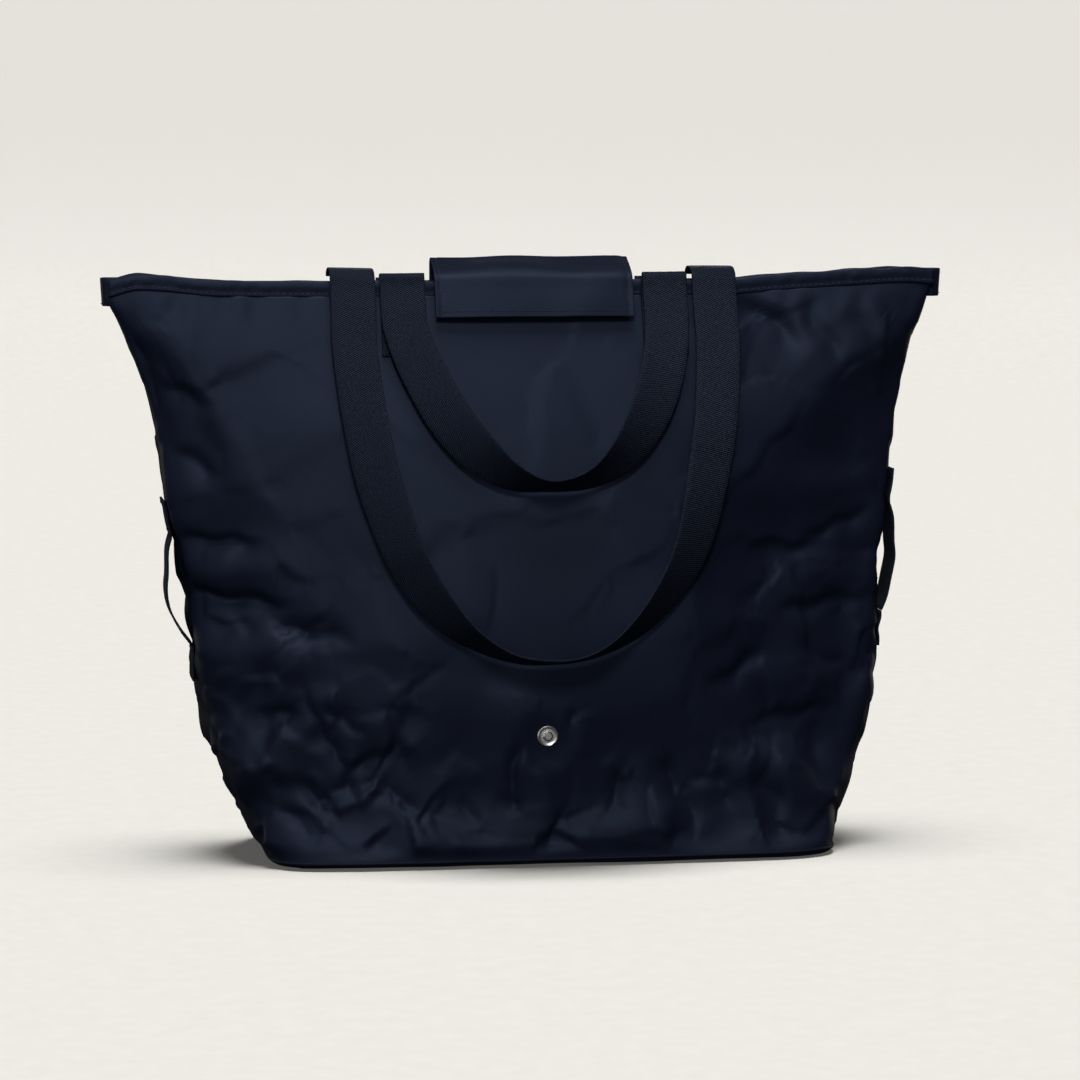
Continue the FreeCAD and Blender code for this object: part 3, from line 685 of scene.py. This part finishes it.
def shape_folds(grid, even):
    """Listed folds and swells, then fine crumpling where the cloth is slack, all placed on the even wall."""
    normal = normals_of(even)
    x, y, z = even[..., 0], even[..., 1], even[..., 2]
    front = ease(0.15, 0.6, -normal[..., 1])
    back = ease(0.15, 0.6, normal[..., 1])
    left, right = ease(0.3, 0.75, -normal[..., 0]), ease(0.3, 0.75, normal[..., 0])
    inward = np.zeros_like(x)
    for start, end, width, depth, skew in FRONT_FOLDS:
        inward += front * fold_depth(x, z, start, end, width, depth, skew)
    for (cx, cz), (rx, rz), height in FRONT_SWELLS:
        inward -= front * height * MM * np.exp(-((x - cx * MM) / (rx * MM)) ** 2 - ((z - cz * MM) / (rz * MM)) ** 2)
    for start, end, width, depth, skew in BACK_FOLDS:
        inward += back * fold_depth(x, z, start, end, width, depth, skew)
    for side, folds in ((left, LEFT_FOLDS), (right, RIGHT_FOLDS)):
        for start, end, width, depth in folds:
            inward += side * fold_depth(y, z, start, end, width * 1.3, depth * 0.4)
    rough = facets(even.reshape(-1, 3), 27 * MM, 3.1, 0.13).reshape(x.shape)
    broad = facets(even.reshape(-1, 3), 62 * MM, 8.4, 0.13).reshape(x.shape)
    slack = np.maximum.reduce([
        ease(-0.11, -0.19, x) * ease(0.27, 0.17, z) * 0.75,
        ease(-0.06, -0.13, x) * ease(0.16, 0.10, z),
        ease(0.11, 0.17, x) * ease(0.28, 0.18, z) * 0.6,
        ease(0.105, 0.06, z) * 0.6,
        ease(0.16, 0.26, np.abs(x)) * 0.25,
        np.maximum(left, right) * 0.26, back * 0.34])
    slack = slack * ease(RIM + 1 * MM, RIM - 45 * MM, z) * ease(FOOT, FOOT + 14 * MM, z)
    inward += slack * rough + np.maximum(slack, 0.12) ** 0.7 * broad
    # the front turns away beyond the bulge of what the bag holds, more on the right
    back_off = np.zeros_like(x)
    for sign, edge, slope, most in ((1, RIGHT_TURN, 0.30, 15 * MM), (-1, LEFT_TURN, 0.15, 8 * MM)):
        beyond = sign * (x - through(edge, z))
        ramp = slope * (np.sqrt(np.maximum(beyond, 0) ** 2 + (5 * MM) ** 2) - 5 * MM)
        back_off += most * np.tanh(ramp / most) * ease(RIM - 4 * MM, RIM - 50 * MM, z) * ease(0.03, 0.08, z)
    back_off *= ease(0.0, 0.75, -y / through(HALF_DEPTH, z))
    # the cloth drawn in by the hem's stitching
    pucker = np.sin(x / (4.6 * MM)) + 0.6 * np.sin(x / (2.9 * MM) + 1.1)
    inward += 0.55 * MM * pucker * ease(0.10, 0.22, np.abs(x)) * ease(RIM - 26 * MM, RIM - 4 * MM, z) \
        * ease(RIM + 2 * MM, RIM - 2 * MM, z)
    # flat under the press stud and calm at the sewn edges
    stud_z = (STUD_LOW.z + STUD_HIGH.z) / 2
    calm = 1 - front * ease(26 * MM, 9 * MM, np.hypot(x, z - stud_z))
    edge = ease(FOOT, FOOT + 10 * MM, z) * ease(RIM + 6 * MM, RIM - 12 * MM, z) * 0.97 + 0.03
    shaped = grid - normal * (inward * calm * edge)[..., None]
    shaped[..., 1] += back_off * calm
    return shaped


def seat_stud(grid):
    """The front wall meets the back of the press stud, as it does in the frame."""
    stud_z = (STUD_LOW.z + STUD_HIGH.z) / 2
    near = np.hypot(grid[..., 0], grid[..., 2] - stud_z) + np.where(grid[..., 1] < 0, 0, 1)
    at = np.unravel_index(np.argmin(near), near.shape)
    seat = through([(FOOT, BASE_DEEP), (0.150, 0.080)], stud_z)
    shift = -seat - grid[at][1]
    grid = grid.copy()
    grid[..., 1] += shift * ease(60 * MM, 12 * MM, near)
    return grid


def without_short_waves(moved, passes=12):
    """Only the cloth's broad sag, which comes out the same in every run."""
    for _ in range(passes):
        beside = (np.roll(moved, 1, 1) + np.roll(moved, -1, 1)) / 2
        above = moved.copy()
        above[1:-1] = (moved[:-2] + moved[2:]) / 2
        moved = 0.4 * moved + 0.3 * beside + 0.3 * above
    return moved


def make_shell():
    rest = wall_grid()
    grid = rest
    moved = settle(rest) - rest
    size = np.linalg.norm(moved, axis=2, keepdims=True)
    cap = 10 * MM
    moved = moved * (cap * np.tanh(size / cap) / np.maximum(size, 1e-9))
    x, z = rest[..., 0], rest[..., 2]
    calm = 1 - 0.65 * ease(0.17, 0.09, np.abs(x)) * ease(0.07, 0.12, z) * (rest[..., 1] < 0)
    calm = calm * (0.25 + 0.75 * ease(RIM - 20 * MM, RIM - 150 * MM, z))
    grid = rest + without_short_waves(moved * calm[..., None])
    grid = seat_stud(shape_folds(finer(grid), finer(rest)))
    columns = grid.shape[1]

    # base: from the seam the cloth rolls under and lies on the floor, lifting here and there
    seam = grid[0]
    out = unit(np.column_stack([normals_of(grid)[0][:, :2], np.zeros(columns)]))
    run = distance_along(seam)
    lift = 1.5 * MM * (0.5 + 0.5 * np.sin(run / 0.032) * np.sin(run / 0.057 + 1.0))
    under = []
    for drop, reach, level in ((5.2, 0.2, 1.0), (3.6, 0.3, 1.0), (2.0, -0.6, 1.0), (0.9, -2.6, 0.9), (0.35, -6, 0.6)):
        row = seam + out * reach * MM
        row[:, 2] = drop * MM + lift * level * (1 - drop / 6.6) * (drop > 0.3)
        under.append(row)
    for share in (0.93, 0.84, 0.7, 0.5, 0.3, 0.12):
        row = under[4] * np.array([share, share, 0])
        row[:, 2] = 0.35 * MM + 0.25 * MM * np.sin(row[:, 0] * 70) * np.sin(row[:, 1] * 60)
        under.append(row)
    rows = np.concatenate([np.array(under[::-1]), grid])
    points = rows.reshape(-1, 3)
    faces, corners = grid_faces(len(rows), columns, True)
    lengths = np.linalg.norm(np.diff(np.concatenate([grid, grid[:, :1]], 1), axis=1), axis=2)
    around = np.concatenate([[0], np.cumsum(lengths.mean(0))])
    climb = np.concatenate([[0], np.cumsum(np.linalg.norm(np.diff(rows, axis=0), axis=2).mean(1))])
    face_uvs = [[(around[c], climb[r]) for r, c in quad] for quad in corners]
    middle = len(points)
    points = np.vstack([points, [[0, 0, 0.35 * MM]]])
    for c in range(columns):
        d = (c + 1) % columns
        faces.append((middle, d, c))
        face_uvs.append([(points[v][0], points[v][1]) for v in (middle, d, c)])
    shell = mesh_piece("bag_shell", points, faces, face_uvs)
    solid = shell.modifiers.new("cloth", "SOLIDIFY")
    solid.thickness, solid.offset = CLOTH, -1
    solid.use_quality_normals = True
    apply_modifiers(shell)
    return shell, grid, BVHTree.FromPolygons([Vector(p) for p in points], faces)


shell, walls, skin = make_shell()
dress(shell, NYLON, "body_nylon", WALLS,
      "front_panel", "back_panel", "left_gusset", "right_gusset", "base_panel")


def touch(origin, direction):
    """Where a ray first meets the shell's outside."""
    hit = skin.ray_cast(Vector(origin), Vector(direction))
    return np.array(hit[0]), np.array(hit[1])


def front_at(x, z):
    return touch((x, -0.3, min(z, RIM - 4 * MM)), (0, 1, 0))[0][1]


def back_at(x, z):
    return touch((x, 0.3, min(z, RIM - 4 * MM)), (0, -1, 0))[0][1]


def side_at(side, z, y=0.0):
    return touch((side * 0.5, y, z), (-side, 0, 0))[0][0]


# ---------------------------------------------------------------- base piping

seam_ring = walls[0] + unit(np.column_stack([normals_of(walls)[0][:, :2], np.zeros(walls.shape[1])])) * 0.2 * MM
seam_ring[:, 2] = FOOT - 1.6 * MM
piping = tube("base_piping_cord", evenly(np.vstack([seam_ring, seam_ring[:1]]), 3 * MM)[:-1], 1.3 * MM, closed=True)
dress(piping, PIPING, "piping", WALLS, "base_piping")

# ---------------------------------------------------------------- hems with their top-stitching


def hem(side, name, node):
    """The mouth's folded edge: side is -1 for the front and 1 for the back."""
    xs = np.linspace(-TOP_HALF, TOP_HALF, 295) * 1.008 - 4 * MM
    rise = through(RIM_RISE, xs)
    outer, inner = RIM_DEEP + 0.5 * MM, -HEM_HIGH.y
    sections = []
    for x, lift in zip(xs, rise):
        slack = float(ease(0.12, 0.24, abs(x)))
        swell = noise.noise(Vector((x * 130, side * 5.0, 0.2))) * (0.25 + 0.9 * slack) * MM
        wave = noise.noise(Vector((x * 45, side * 3.0, 4.2))) * (0.3 + 1.1 * slack) * MM
        low, high = HEM_LOW.z - 2.0 * MM + lift, HEM_HIGH.z + lift + wave
        tall = high - low
        profile = [
            (inner, low + 0.3 * tall), (inner - 0.1 * MM, low + 0.92 * tall), (inner + 0.5 * MM, high - 0.25 * MM),
            ((inner + outer) / 2, high), (outer - 0.7 * MM, high - 0.25 * MM), (outer, high - 1.1 * MM),
            (outer + 0.35 * MM + swell, low + 0.66 * tall),
            (outer + 0.3 * MM + swell * 0.6, low + 0.45 * tall),
            (outer - 0.15 * MM, low + 0.26 * tall), (outer + 0.35 * MM, low + 0.14 * tall),
            (outer + 0.25 * MM, low), (outer - 0.9 * MM, low - 0.1 * MM), (outer - 1.2 * MM, low + 0.25 * tall)]
        section = [(x, side * d, z) for d, z in profile]
        sections.append(section if side > 0 else section[::-1])
    profile_run = list(np.linspace(0, 26 * MM, 14))
    piece = swept(name, sections, (profile_run, xs))
    dress(piece, NYLON, "body_nylon", "bag", node)
    line = [(x, side * (outer - 0.05 * MM), HEM_LOW.z + 0.6 * MM + lift) for x, lift in zip(xs, rise)]
    sew(name + "_topstitch", line, [(0, side, 0)] * len(line), "body_nylon", "bag")


hem(-1, "front_hem_fold", "front_hem")
hem(1, "back_hem_fold", "back_hem")

# ---------------------------------------------------------------- folded ends of the mouth


def end_tab(side, name, node):
    low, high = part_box(node)
    reach = TOP_HALF + (10 if side < 0 else 4) * MM
    inner = min(abs(low.x), abs(high.x))
    half = 5.4 * MM
    path = [(inner, -half), (inner + 6 * MM, -half), (reach - 5 * MM, -half * 0.98), (reach - 1.2 * MM, -half * 0.7),
            (reach, 0), (reach - 1.2 * MM, half * 0.7), (reach - 5 * MM, half * 0.98), (inner + 6 * MM, half),
            (inner, half)]
    middle = (low.z + high.z) / 2 + float(through(RIM_RISE, side * TOP_HALF))
    line = spline([(side * x, y, middle + (0.8 if side < 0 else 0.2) * MM) for x, y in path], 1.2 * MM)
    piece = strap(name, line, [(0.06 * side, 0, 1)] * len(line), thick=1.5 * MM, wide=high.z - low.z, wander=0.6 * MM)
    dress(piece, NYLON, "body_nylon", "bag", node)
    for k, offset in enumerate((7.2, -7.4)):
        row = np.array([(side * (reach + 0.75 * MM - abs(y) * 0.28), y, middle + offset * MM)
                        for y in np.linspace(-half * 0.75, half * 0.75, 9)])
        sew(f"{name}_stitch_{k}", row, [(side, 0, 0)] * len(row), "body_nylon", "bag", pitch=3.4 * MM, length=2.5 * MM)


end_tab(-1, "left_end_fold", "left_end_tab")
end_tab(1, "right_end_fold", "right_end_tab")

# ---------------------------------------------------------------- zip


def zip_side(side, where):
    tape_low, tape_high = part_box(f"zip_tape_{where}")
    coil_low, coil_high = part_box(f"zip_coil_{where}")
    xs = np.linspace(tape_low.x, tape_high.x, 140)
    y, z = (tape_low.y + tape_high.y) / 2, (tape_low.z + tape_high.z) / 2
    line = [(x, y, z + 0.12 * MM * math.sin(x * 160)) for x in xs]
    tape = strap(f"zip_tape_cloth_{where}", line, [(0, 1, 0)] * len(line), thick=0.7 * MM,
                 wide=tape_high.y - tape_low.y)
    dress(tape, ZIP_TAPE, "zip_tape", "bag", f"zip_tape_{where}")
    pitch, wire = 1.5 * MM, 0.24 * MM
    turns = int((coil_high.x - coil_low.x) / pitch)
    t = np.linspace(0, turns, turns * 9 + 1)
    cy, cz = (coil_low.y + coil_high.y) / 2, (coil_low.z + coil_high.z) / 2
    ry, rz = (coil_high.y - coil_low.y) / 2 - wire, (coil_high.z - coil_low.z) / 2 - wire
    coil_line = np.column_stack([coil_low.x + t * pitch, cy + ry * np.cos(2 * np.pi * t) * side,
                                 cz + rz * np.sin(2 * np.pi * t)])
    coil = tube(f"zip_coil_wire_{where}", coil_line, wire, sides=4)
    dress(coil, COIL, "zip_coil", "bag", f"zip_coil_{where}")


zip_side(-1, "front")
zip_side(1, "back")

# ---------------------------------------------------------------- flap


# The flap's line below its highest point: from the foot (in front of it, below), then over the mouth and down
# (y, below). In millimetres.
FLAP_FOOT = [(0.3, 21), (0.2, 12), (0.9, 4.5), (4.2, 1.0)]
FLAP_OVER_MOUTH = [(6, 2.2), (-4, 6.2), (-12.6, 10.4), (-17.2, 14.6), (-20.2, 22), (-24.4, 32)]
FLAP_STEP = 1.4 * MM
STITCH_INSET = 3.6 * MM


def flap_sheet(name, shrink, layer, thick):
    """The flap's cloth: a curve from its foot over the mouth and down in front, as wide as the frame's."""
    foot = FLAP_HIGH.y
    points = [(0, y * MM, FLAP_HIGH.z - drop * MM) for y, drop in FLAP_OVER_MOUTH]
    points = [(0, foot - back * MM, FLAP_HIGH.z - drop * MM) for back, drop in FLAP_FOOT] + points
    points.append((0, FLAP_LOW.y + 0.5 * MM, FLAP_LOW.z + shrink))
    curve = spline(points, FLAP_STEP)
    along = unit(np.gradient(curve, axis=0))
    out = np.cross(along, [1.0, 0, 0]) * -1
    out = out * np.sign(out[len(out) // 2][2])
    curve = curve - out * layer
    half = FLAP_HIGH.x - shrink
    us = np.concatenate([[-1, -0.985, -0.965, -0.945], np.linspace(-0.92, 0.92, 60), [0.945, 0.965, 0.985, 1]])
    rows = []
    for j, (c, o) in enumerate(zip(curve, out)):
        share = j / (len(curve) - 1)
        row = []
        for u in us:
            x = u * half
            billow = noise.noise(Vector((x * 28, share * 3.0, 2.0))) * MM
            billow += 0.5 * MM * math.cos(x * 80 + share * 3)
            crown = 0.9 * MM * (1 - u * u)
            fade = float(ease(0.0, 0.25, share)) * float(ease(1.0, 0.9, abs(u)))
            edge = -0.35 * MM * math.exp(-((abs(x) - (half - STITCH_INSET)) / (0.9 * MM)) ** 2)
            row.append(c + np.array([x, 0, 0]) + o * (fade * billow * 0.8 + crown * fade + edge))
        rows.append(row)
    rows = np.array(rows)
    faces, corners = grid_faces(len(rows), len(us))
    run = np.linspace(0, FLAP_STEP * len(rows), len(rows))
    face_uvs = [[(us[c] * half, run[r]) for r, c in quad] for quad in corners]
    piece = mesh_piece(name, rows.reshape(-1, 3), faces, face_uvs)
    solid = piece.modifiers.new("cloth", "SOLIDIFY")
    solid.thickness, solid.offset = thick, 0
    round_edge = piece.modifiers.new("edge", "BEVEL")
    round_edge.width, round_edge.segments, round_edge.limit_method = thick * 0.35, 2, "ANGLE"
    apply_modifiers(piece)
    piece.data.polygons.foreach_set("use_smooth", [True] * len(piece.data.polygons))
    return piece, rows, out


flap, flap_rows, flap_out = flap_sheet("flap_cloth", 0.0, 0.5 * MM, 0.95 * MM)
dress(flap, NYLON, "body_nylon", "flap", "flap_outer")
lining, _, _ = flap_sheet("flap_lining_cloth", 1.2 * MM, 1.55 * MM, 0.8 * MM)
dress(lining, LINING, "lining_nylon", "flap", "flap_lining")


def flap_stitches():
    half, lift = FLAP_HIGH.x, 0.5 * MM
    lines = []
    for side in (-1, 1):
        c = int(np.argmin(np.abs(flap_rows[0, :, 0] - side * (half - STITCH_INSET))))
        lines.append((flap_rows[3:-4, c], flap_out[3:-4]))
    lip = flap_rows[-4, 3:-3]
    lines.append((lip, np.tile(flap_out[-4], (len(lip), 1))))
    for name, (line, out) in zip(("left", "right", "lip"), lines):
        sew(f"flap_stitch_{name}", line + out * lift, out, "body_nylon", "flap", **FINE)


flap_stitches()

# ---------------------------------------------------------------- webbing


def anchor(side, face, name, node):
    """The sewn end of a long handle: face is -1 on the front wall and 1 on the back."""
    low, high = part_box(node)
    x = (low.x + high.x) / 2
    surface = front_at if face < 0 else back_at
    heights = np.linspace(low.z, HEM_LOW.z - 6 * MM, 16)
    line = [(x, surface(x, z) + face * 1.0 * MM, z) for z in heights]
    top = face * (RIM_DEEP + 2.2 * MM)
    line += [(x, top, HEM_LOW.z - 1 * MM), (x, top, high.z - 3 * MM), (x, top - face * 0.2 * MM, high.z)]
    line = spline(line, 2.5 * MM)
    piece = strap(name, line, [(1, 0, 0)] * len(line), wander=0.15 * MM, seed=x * 50)
    dress(piece, WEBBING, "webbing", WALLS, node)
    half = WEB_WIDE / 2 - 3 * MM
    for k, z in enumerate((low.z + 3.4 * MM, low.z + 8.2 * MM)):
        y = np.interp(z, line[:, 2], line[:, 1]) + face * (WEB_THICK / 2)
        row = [(x + s * half, y, z) for s in np.linspace(-1, 1, 12)]
        sew(f"{name}_stitch_{k}", row, [(0, face, 0.25)] * len(row), "webbing", WALLS, **CLOSE)
    for k, s in enumerate((-1, 1)):
        zs = np.linspace(low.z + 3.4 * MM, high.z - 12 * MM, 20)
        ys = np.interp(zs, line[:, 2], line[:, 1]) + face * (WEB_THICK / 2)
        row = [(x + s * half, y, z) for y, z in zip(ys, zs)]
        sew(f"{name}_edge_stitch_{k}", row, [(0, face, 0.25)] * len(row), "webbing", WALLS, **CLOSE)


for side_name, side in (("left", -1), ("right", 1)):
    anchor(side, -1, f"front_anchor_{side_name}", f"front_handle_anchor_{side_name}")
    anchor(side, 1, f"back_anchor_{side_name}", f"back_handle_anchor_{side_name}")

# Centre lines of the long handles as they hang in front: x, z, and how far the band has turned edge-on.
# In millimetres and degrees.
FRONT_HANDLE = [(-94, 396, 0), (-93.5, 380, 0), (-88, 360, 3), (-77.5, 336, 9), (-66, 315, 17), (-50, 294.5, 33),
                (-27, 276, 62), (0, 268, 84), (30, 272.5, 72), (57, 290, 42), (75, 313.5, 22), (86, 337, 11),
                (92, 361, 4), (94, 380, 0), (94, 396, 0)]
BACK_HANDLE = [(-129, 392, 0), (-129.5, 367, 0), (-127.5, 340, 2), (-124, 312, 5), (-118, 278, 11), (-109, 247, 20),
               (-97.5, 216, 32), (-81, 189, 46), (-58, 166, 64), (-29, 150.5, 79), (0, 146.5, 86), (29, 150.5, 80),
               (57, 166, 67), (84, 193, 50), (104, 226, 31), (116, 268, 16), (125, 310, 7), (129.5, 355, 0),
               (130, 392, 0)]


def hanging(name, path, crossing, clearance=8.0 * MM):
    """A long handle: crossing is how each side of it comes over the mouth, as (y, height over the hem)."""
    flat = spline([(x * MM, z * MM, math.radians(turn)) for x, z, turn in path], 3 * MM)
    centres, across = [], []
    stretch = np.gradient(flat[:, :2], axis=0)
    for (x, z, turn), (dx, dz) in zip(flat, stretch):
        slope = (front_at(x, z + 12 * MM) - front_at(x, z - 12 * MM)) / (24 * MM)
        out = unit(np.array([0, -1, slope]))
        along = unit(np.array([dx, slope * dz, dz]))
        inner = unit(np.cross(along, out)) * -1
        across.append(inner * math.cos(turn) + out * math.sin(turn))
        stand = clearance + WEB_WIDE / 2 * math.sin(turn)
        centres.append((x, front_at(x, z) - stand, z))
    centres, across = np.array(centres), np.array(across)
    smooth = centres[:, 1].copy()
    for _ in range(6):
        smooth[1:-1] = (smooth[:-2] + 2 * smooth[1:-1] + smooth[2:]) / 4
    centres[:, 1] = np.minimum(smooth, centres[:, 1] + 1.2 * MM)
    over = [(y * MM, HEM_HIGH.z + rise * MM) for y, rise in crossing]
    line = np.vstack([[(centres[0][0], y, z) for y, z in over], centres,
                      [(centres[-1][0], y, z) for y, z in over[::-1]]])
    sides = np.vstack([[across[0]] * len(over), across, [across[-1]] * len(over)])
    line, sides = carried(line, sides, 2.6 * MM)
    piece = strap(name + "_webbing", line, sides, wander=0.25 * MM, seed=len(path))
    dress(piece, WEBBING, "webbing", name, name)


FRONT_CROSSING = [(-12.7, 0.4), (-13.4, 3.0), (-15.2, 3.6), (-16.9, 1.4), (-17.4, -4.5)]
BACK_CROSSING = [(12.2, 1.2), (10.4, 4.4), (6.2, 6.2), (0, 6.6), (-6.6, 6.2), (-12.4, 3.9), (-15.8, -0.4),
                 (-17.2, -6.4)]
hanging("front_handle", FRONT_HANDLE, FRONT_CROSSING)
hanging("back_handle", BACK_HANDLE, BACK_CROSSING)


def side_over(side, z):
    """The furthest out that the side wall stands at a height, across the width of a band."""
    return side * max(abs(side_at(side, z, y * MM)) for y in (-14, -9, -4, 0, 4, 9, 14))


def side_handle(side, name):
    low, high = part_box(f"{name}_side_handle")
    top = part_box(f"{name}_side_handle_top_end")[1].z
    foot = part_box(f"{name}_side_handle_bottom_end")[0].z
    out = max(abs(low.x), abs(high.x)) - WEB_THICK / 2
    off = 1.0 * MM
    start = np.array([side_over(side, high.z) + side * (off + 0.4 * MM), 0, high.z])
    end = np.array([side_over(side, low.z) + side * (off + 0.4 * MM), 0, low.z])
    tall = high.z - low.z
    path = [start, (side * (abs(start[0]) + 0.40 * (out - abs(start[0])) + 1 * MM), 0, high.z - 0.13 * tall),
            (side * (out - 0.8 * MM), 0, high.z - 0.34 * tall), (side * out, 0, high.z - 0.5 * tall),
            (side * (out - 2.5 * MM), 0, high.z - 0.68 * tall),
            (side * (abs(end[0]) + 0.42 * (out - abs(end[0]))), 0, low.z + 0.13 * tall), end]
    line = spline(path, 2 * MM)
    loop = strap(f"{name}_side_loop", line, [(0, 1, 0)] * len(line), wander=0.2 * MM, seed=side * 4.0)
    dress(loop, WEBBING, "webbing", f"{name}_side_handle", f"{name}_side_handle")
    for part, a, b in (("top", high.z + 0.5 * MM, top), ("bottom", foot, low.z - 0.5 * MM)):
        zs = np.linspace(a, b, 9)
        sewn_line = np.array([(side_over(side, z) + side * off, 0, z) for z in zs])
        patch_line = spline(sewn_line, 2 * MM)
        end_piece = strap(f"{name}_side_{part}_patch", patch_line, [(0, 1, 0)] * len(patch_line), seed=side * 2.0)
        dress(end_piece, WEBBING, "webbing", "side_walls", f"{name}_side_handle_{part}_end")
        half = WEB_WIDE / 2 - 3 * MM
        for k, z in enumerate((a + 3 * MM, b - 3 * MM)):
            x = np.interp(z, sewn_line[:, 2], sewn_line[:, 0]) + side * WEB_THICK / 2
            row = [(x, y, z) for y in np.linspace(-half, half, 10)]
            sew(f"{name}_side_{part}_stitch_{k}", row, [(side, 0, 0)] * len(row), "webbing", "side_walls", **CLOSE)


side_handle(-1, "left")
side_handle(1, "right")


def seam_tape(side, name):
    """Binding on the raw edges inside a gusset's middle seam, standing inward."""
    low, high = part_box(name)
    zs = np.linspace(low.z + 2 * MM, high.z - 6 * MM, 60)
    line = np.array([(side_at(side, z) - side * (CLOTH + 4.6 * MM), 0, z) for z in zs])
    piece = strap(name + "_binding", line, [(1, 0, 0)] * len(line), thick=1.6 * MM, wide=7.4 * MM)
    dress(piece, BINDING, "binding_tape", WALLS, name)


seam_tape(-1, "left_seam_tape")
seam_tape(1, "right_seam_tape")

# ---------------------------------------------------------------- metal parts, as in the frame

for node, material in (("upper_snap_stud", SNAP_METAL), ("lower_snap_stud", SNAP_METAL),
                       ("upper_snap_washer", SNAP_METAL), ("lower_snap_washer", SNAP_METAL),
                       ("flap_snap_socket", SNAP_METAL), ("zip_slider", ZIP_METAL), ("zip_puller", ZIP_METAL),
                       ("zip_left_stop", ZIP_METAL), ("zip_right_stop", ZIP_METAL)):
    metal_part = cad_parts[node]
    metal_part.data.materials.clear()
    metal_part.data.materials.append(material)

# ---------------------------------------------------------------- stage, light and camera


def backdrop():
    """A pale round floor that curves up into a wall, partly self-lit so that it stays even."""
    reach, bend, tall = 4.6, 1.3, 3.0
    profile = [(r, 0) for r in (0.02, 0.5, 1.5, 3.0, reach)]
    profile += [(reach + bend * math.sin(t), bend - bend * math.cos(t)) for t in np.linspace(0, math.pi / 2, 18)[1:]]
    profile.append((reach + bend, tall))
    turn = np.linspace(0, 2 * math.pi, 72, endpoint=False)
    rows = [[(r * math.cos(t), r * math.sin(t), z - 0.0002) for t in turn] for r, z in profile]
    faces, _ = grid_faces(len(rows), 72, True)
    faces.append(tuple(range(72))[::-1])
    floor = mesh_piece("backdrop", np.array(rows).reshape(-1, 3), faces)
    m = Nodes("backdrop_paper")
    facing = m.add("ShaderNodeSeparateXYZ")
    m.link(m.add("ShaderNodeNewGeometry").outputs["Normal"], facing.inputs[0])
    level = m.math("ABSOLUTE", facing.outputs[2])
    grain = m.noise(m.place(60), detail=2)
    m.tint(grain, (0.80, 0.778, 0.728), (0.83, 0.807, 0.755))
    m.set(Roughness=0.9, Specular_IOR_Level=0.0)
    m.shader.inputs["Emission Color"].default_value = (0.838, 0.815, 0.760, 1)
    m.link(m.math("SUBTRACT", 1.02, m.math("MULTIPLY", level, LAMP_SHARE)), m.shader.inputs["Emission Strength"])
    floor.data.materials.append(m.material)
    floor.visible_diffuse = floor.visible_glossy = False
    floor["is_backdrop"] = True


def light_only(lamps, name, pieces):
    """Limits what the lamps light to these pieces."""
    lit = bpy.data.collections.new(name)
    for piece in pieces:
        lit.objects.link(piece)
    for lamp in lamps:
        lamp.light_linking.receiver_collection = lit


def softbox(name, place, aim, wide, tall, power, tone=(1, 1, 1)):
    data = bpy.data.lights.new(name, "AREA")
    data.shape, data.size, data.size_y, data.energy, data.color = "RECTANGLE", wide, tall, power, tone
    lamp = bpy.data.objects.new(name, data)
    lamp.location = place
    lamp.visible_camera = False
    lamp.rotation_euler = (Vector(aim) - Vector(place)).to_track_quat("-Z", "Y").to_euler()
    bpy.context.scene.collection.objects.link(lamp)
    return lamp


LAMP_SHARE = 0.92  # how much of the floor's brightness comes from the lamp overhead, the rest being its own
WARM = (1.0, 0.93, 0.85)
backdrop()
softboxes = [softbox(*lamp) for lamp in (
    ("key", (-0.30, -2.3, 1.70), (0, -0.05, 0.22), 0.5, 0.5, 20),
    ("low", (-0.50, -3.0, 0.50), (0, -0.05, 0.15), 1.2, 0.8, 6),
    ("top", (0, -0.4, 2.2), (0, 0, 0.4), 1.0, 1.0, 20),
    ("behind", (0.6, 2.6, 1.1), (0, 0.05, 0.2), 1.2, 1.0, 9),
    ("fill_left", (-2.4, -1.6, 0.7), (0, 0, 0.2), 0.8, 1.4, 4.0),
    ("rim_left", (-1.8, 1.2, 0.5), (-0.2, 0, 0.2), 0.6, 1.4, 5, WARM),
    ("rim_right", (1.8, 1.2, 0.5), (0.2, 0, 0.2), 0.6, 1.4, 5, WARM))]
light_only(softboxes, "lit_by_softboxes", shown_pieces())
sun = bpy.data.lights.new("overhead", "SUN")
sun.energy, sun.angle = 3.14 * LAMP_SHARE, math.radians(28)
overhead = bpy.data.objects.new("overhead", sun)
bpy.context.scene.collection.objects.link(overhead)
light_only([overhead], "lit_by_overhead", [bpy.data.objects["backdrop"]])

world = bpy.data.worlds.new("studio")
bpy.context.scene.world = world
world.use_nodes = True
world.node_tree.nodes["Background"].inputs[0].default_value = (0.9, 0.95, 1.0, 1)
world.node_tree.nodes["Background"].inputs[1].default_value = 0.03

AIM, AZIMUTH, ELEVATION, DISTANCE = Vector((0.007, 0, 0.2215)), -8.6, 6.0, 3.0
camera_data = bpy.data.cameras.new("camera")
camera_data.lens, camera_data.sensor_width = 139.4, 36
camera_data.dof.use_dof = False
camera = bpy.data.objects.new("camera", camera_data)
bpy.context.scene.collection.objects.link(camera)
a, e = math.radians(AZIMUTH), math.radians(ELEVATION)
towards = Vector((math.sin(a) * math.cos(e), -math.cos(a) * math.cos(e), math.sin(e)))
camera.location = AIM + towards * DISTANCE
camera.rotation_euler = (-towards).to_track_quat("-Z", "Y").to_euler()
bpy.context.scene.camera = camera
bpy.context.scene.view_settings.view_transform = "Standard"
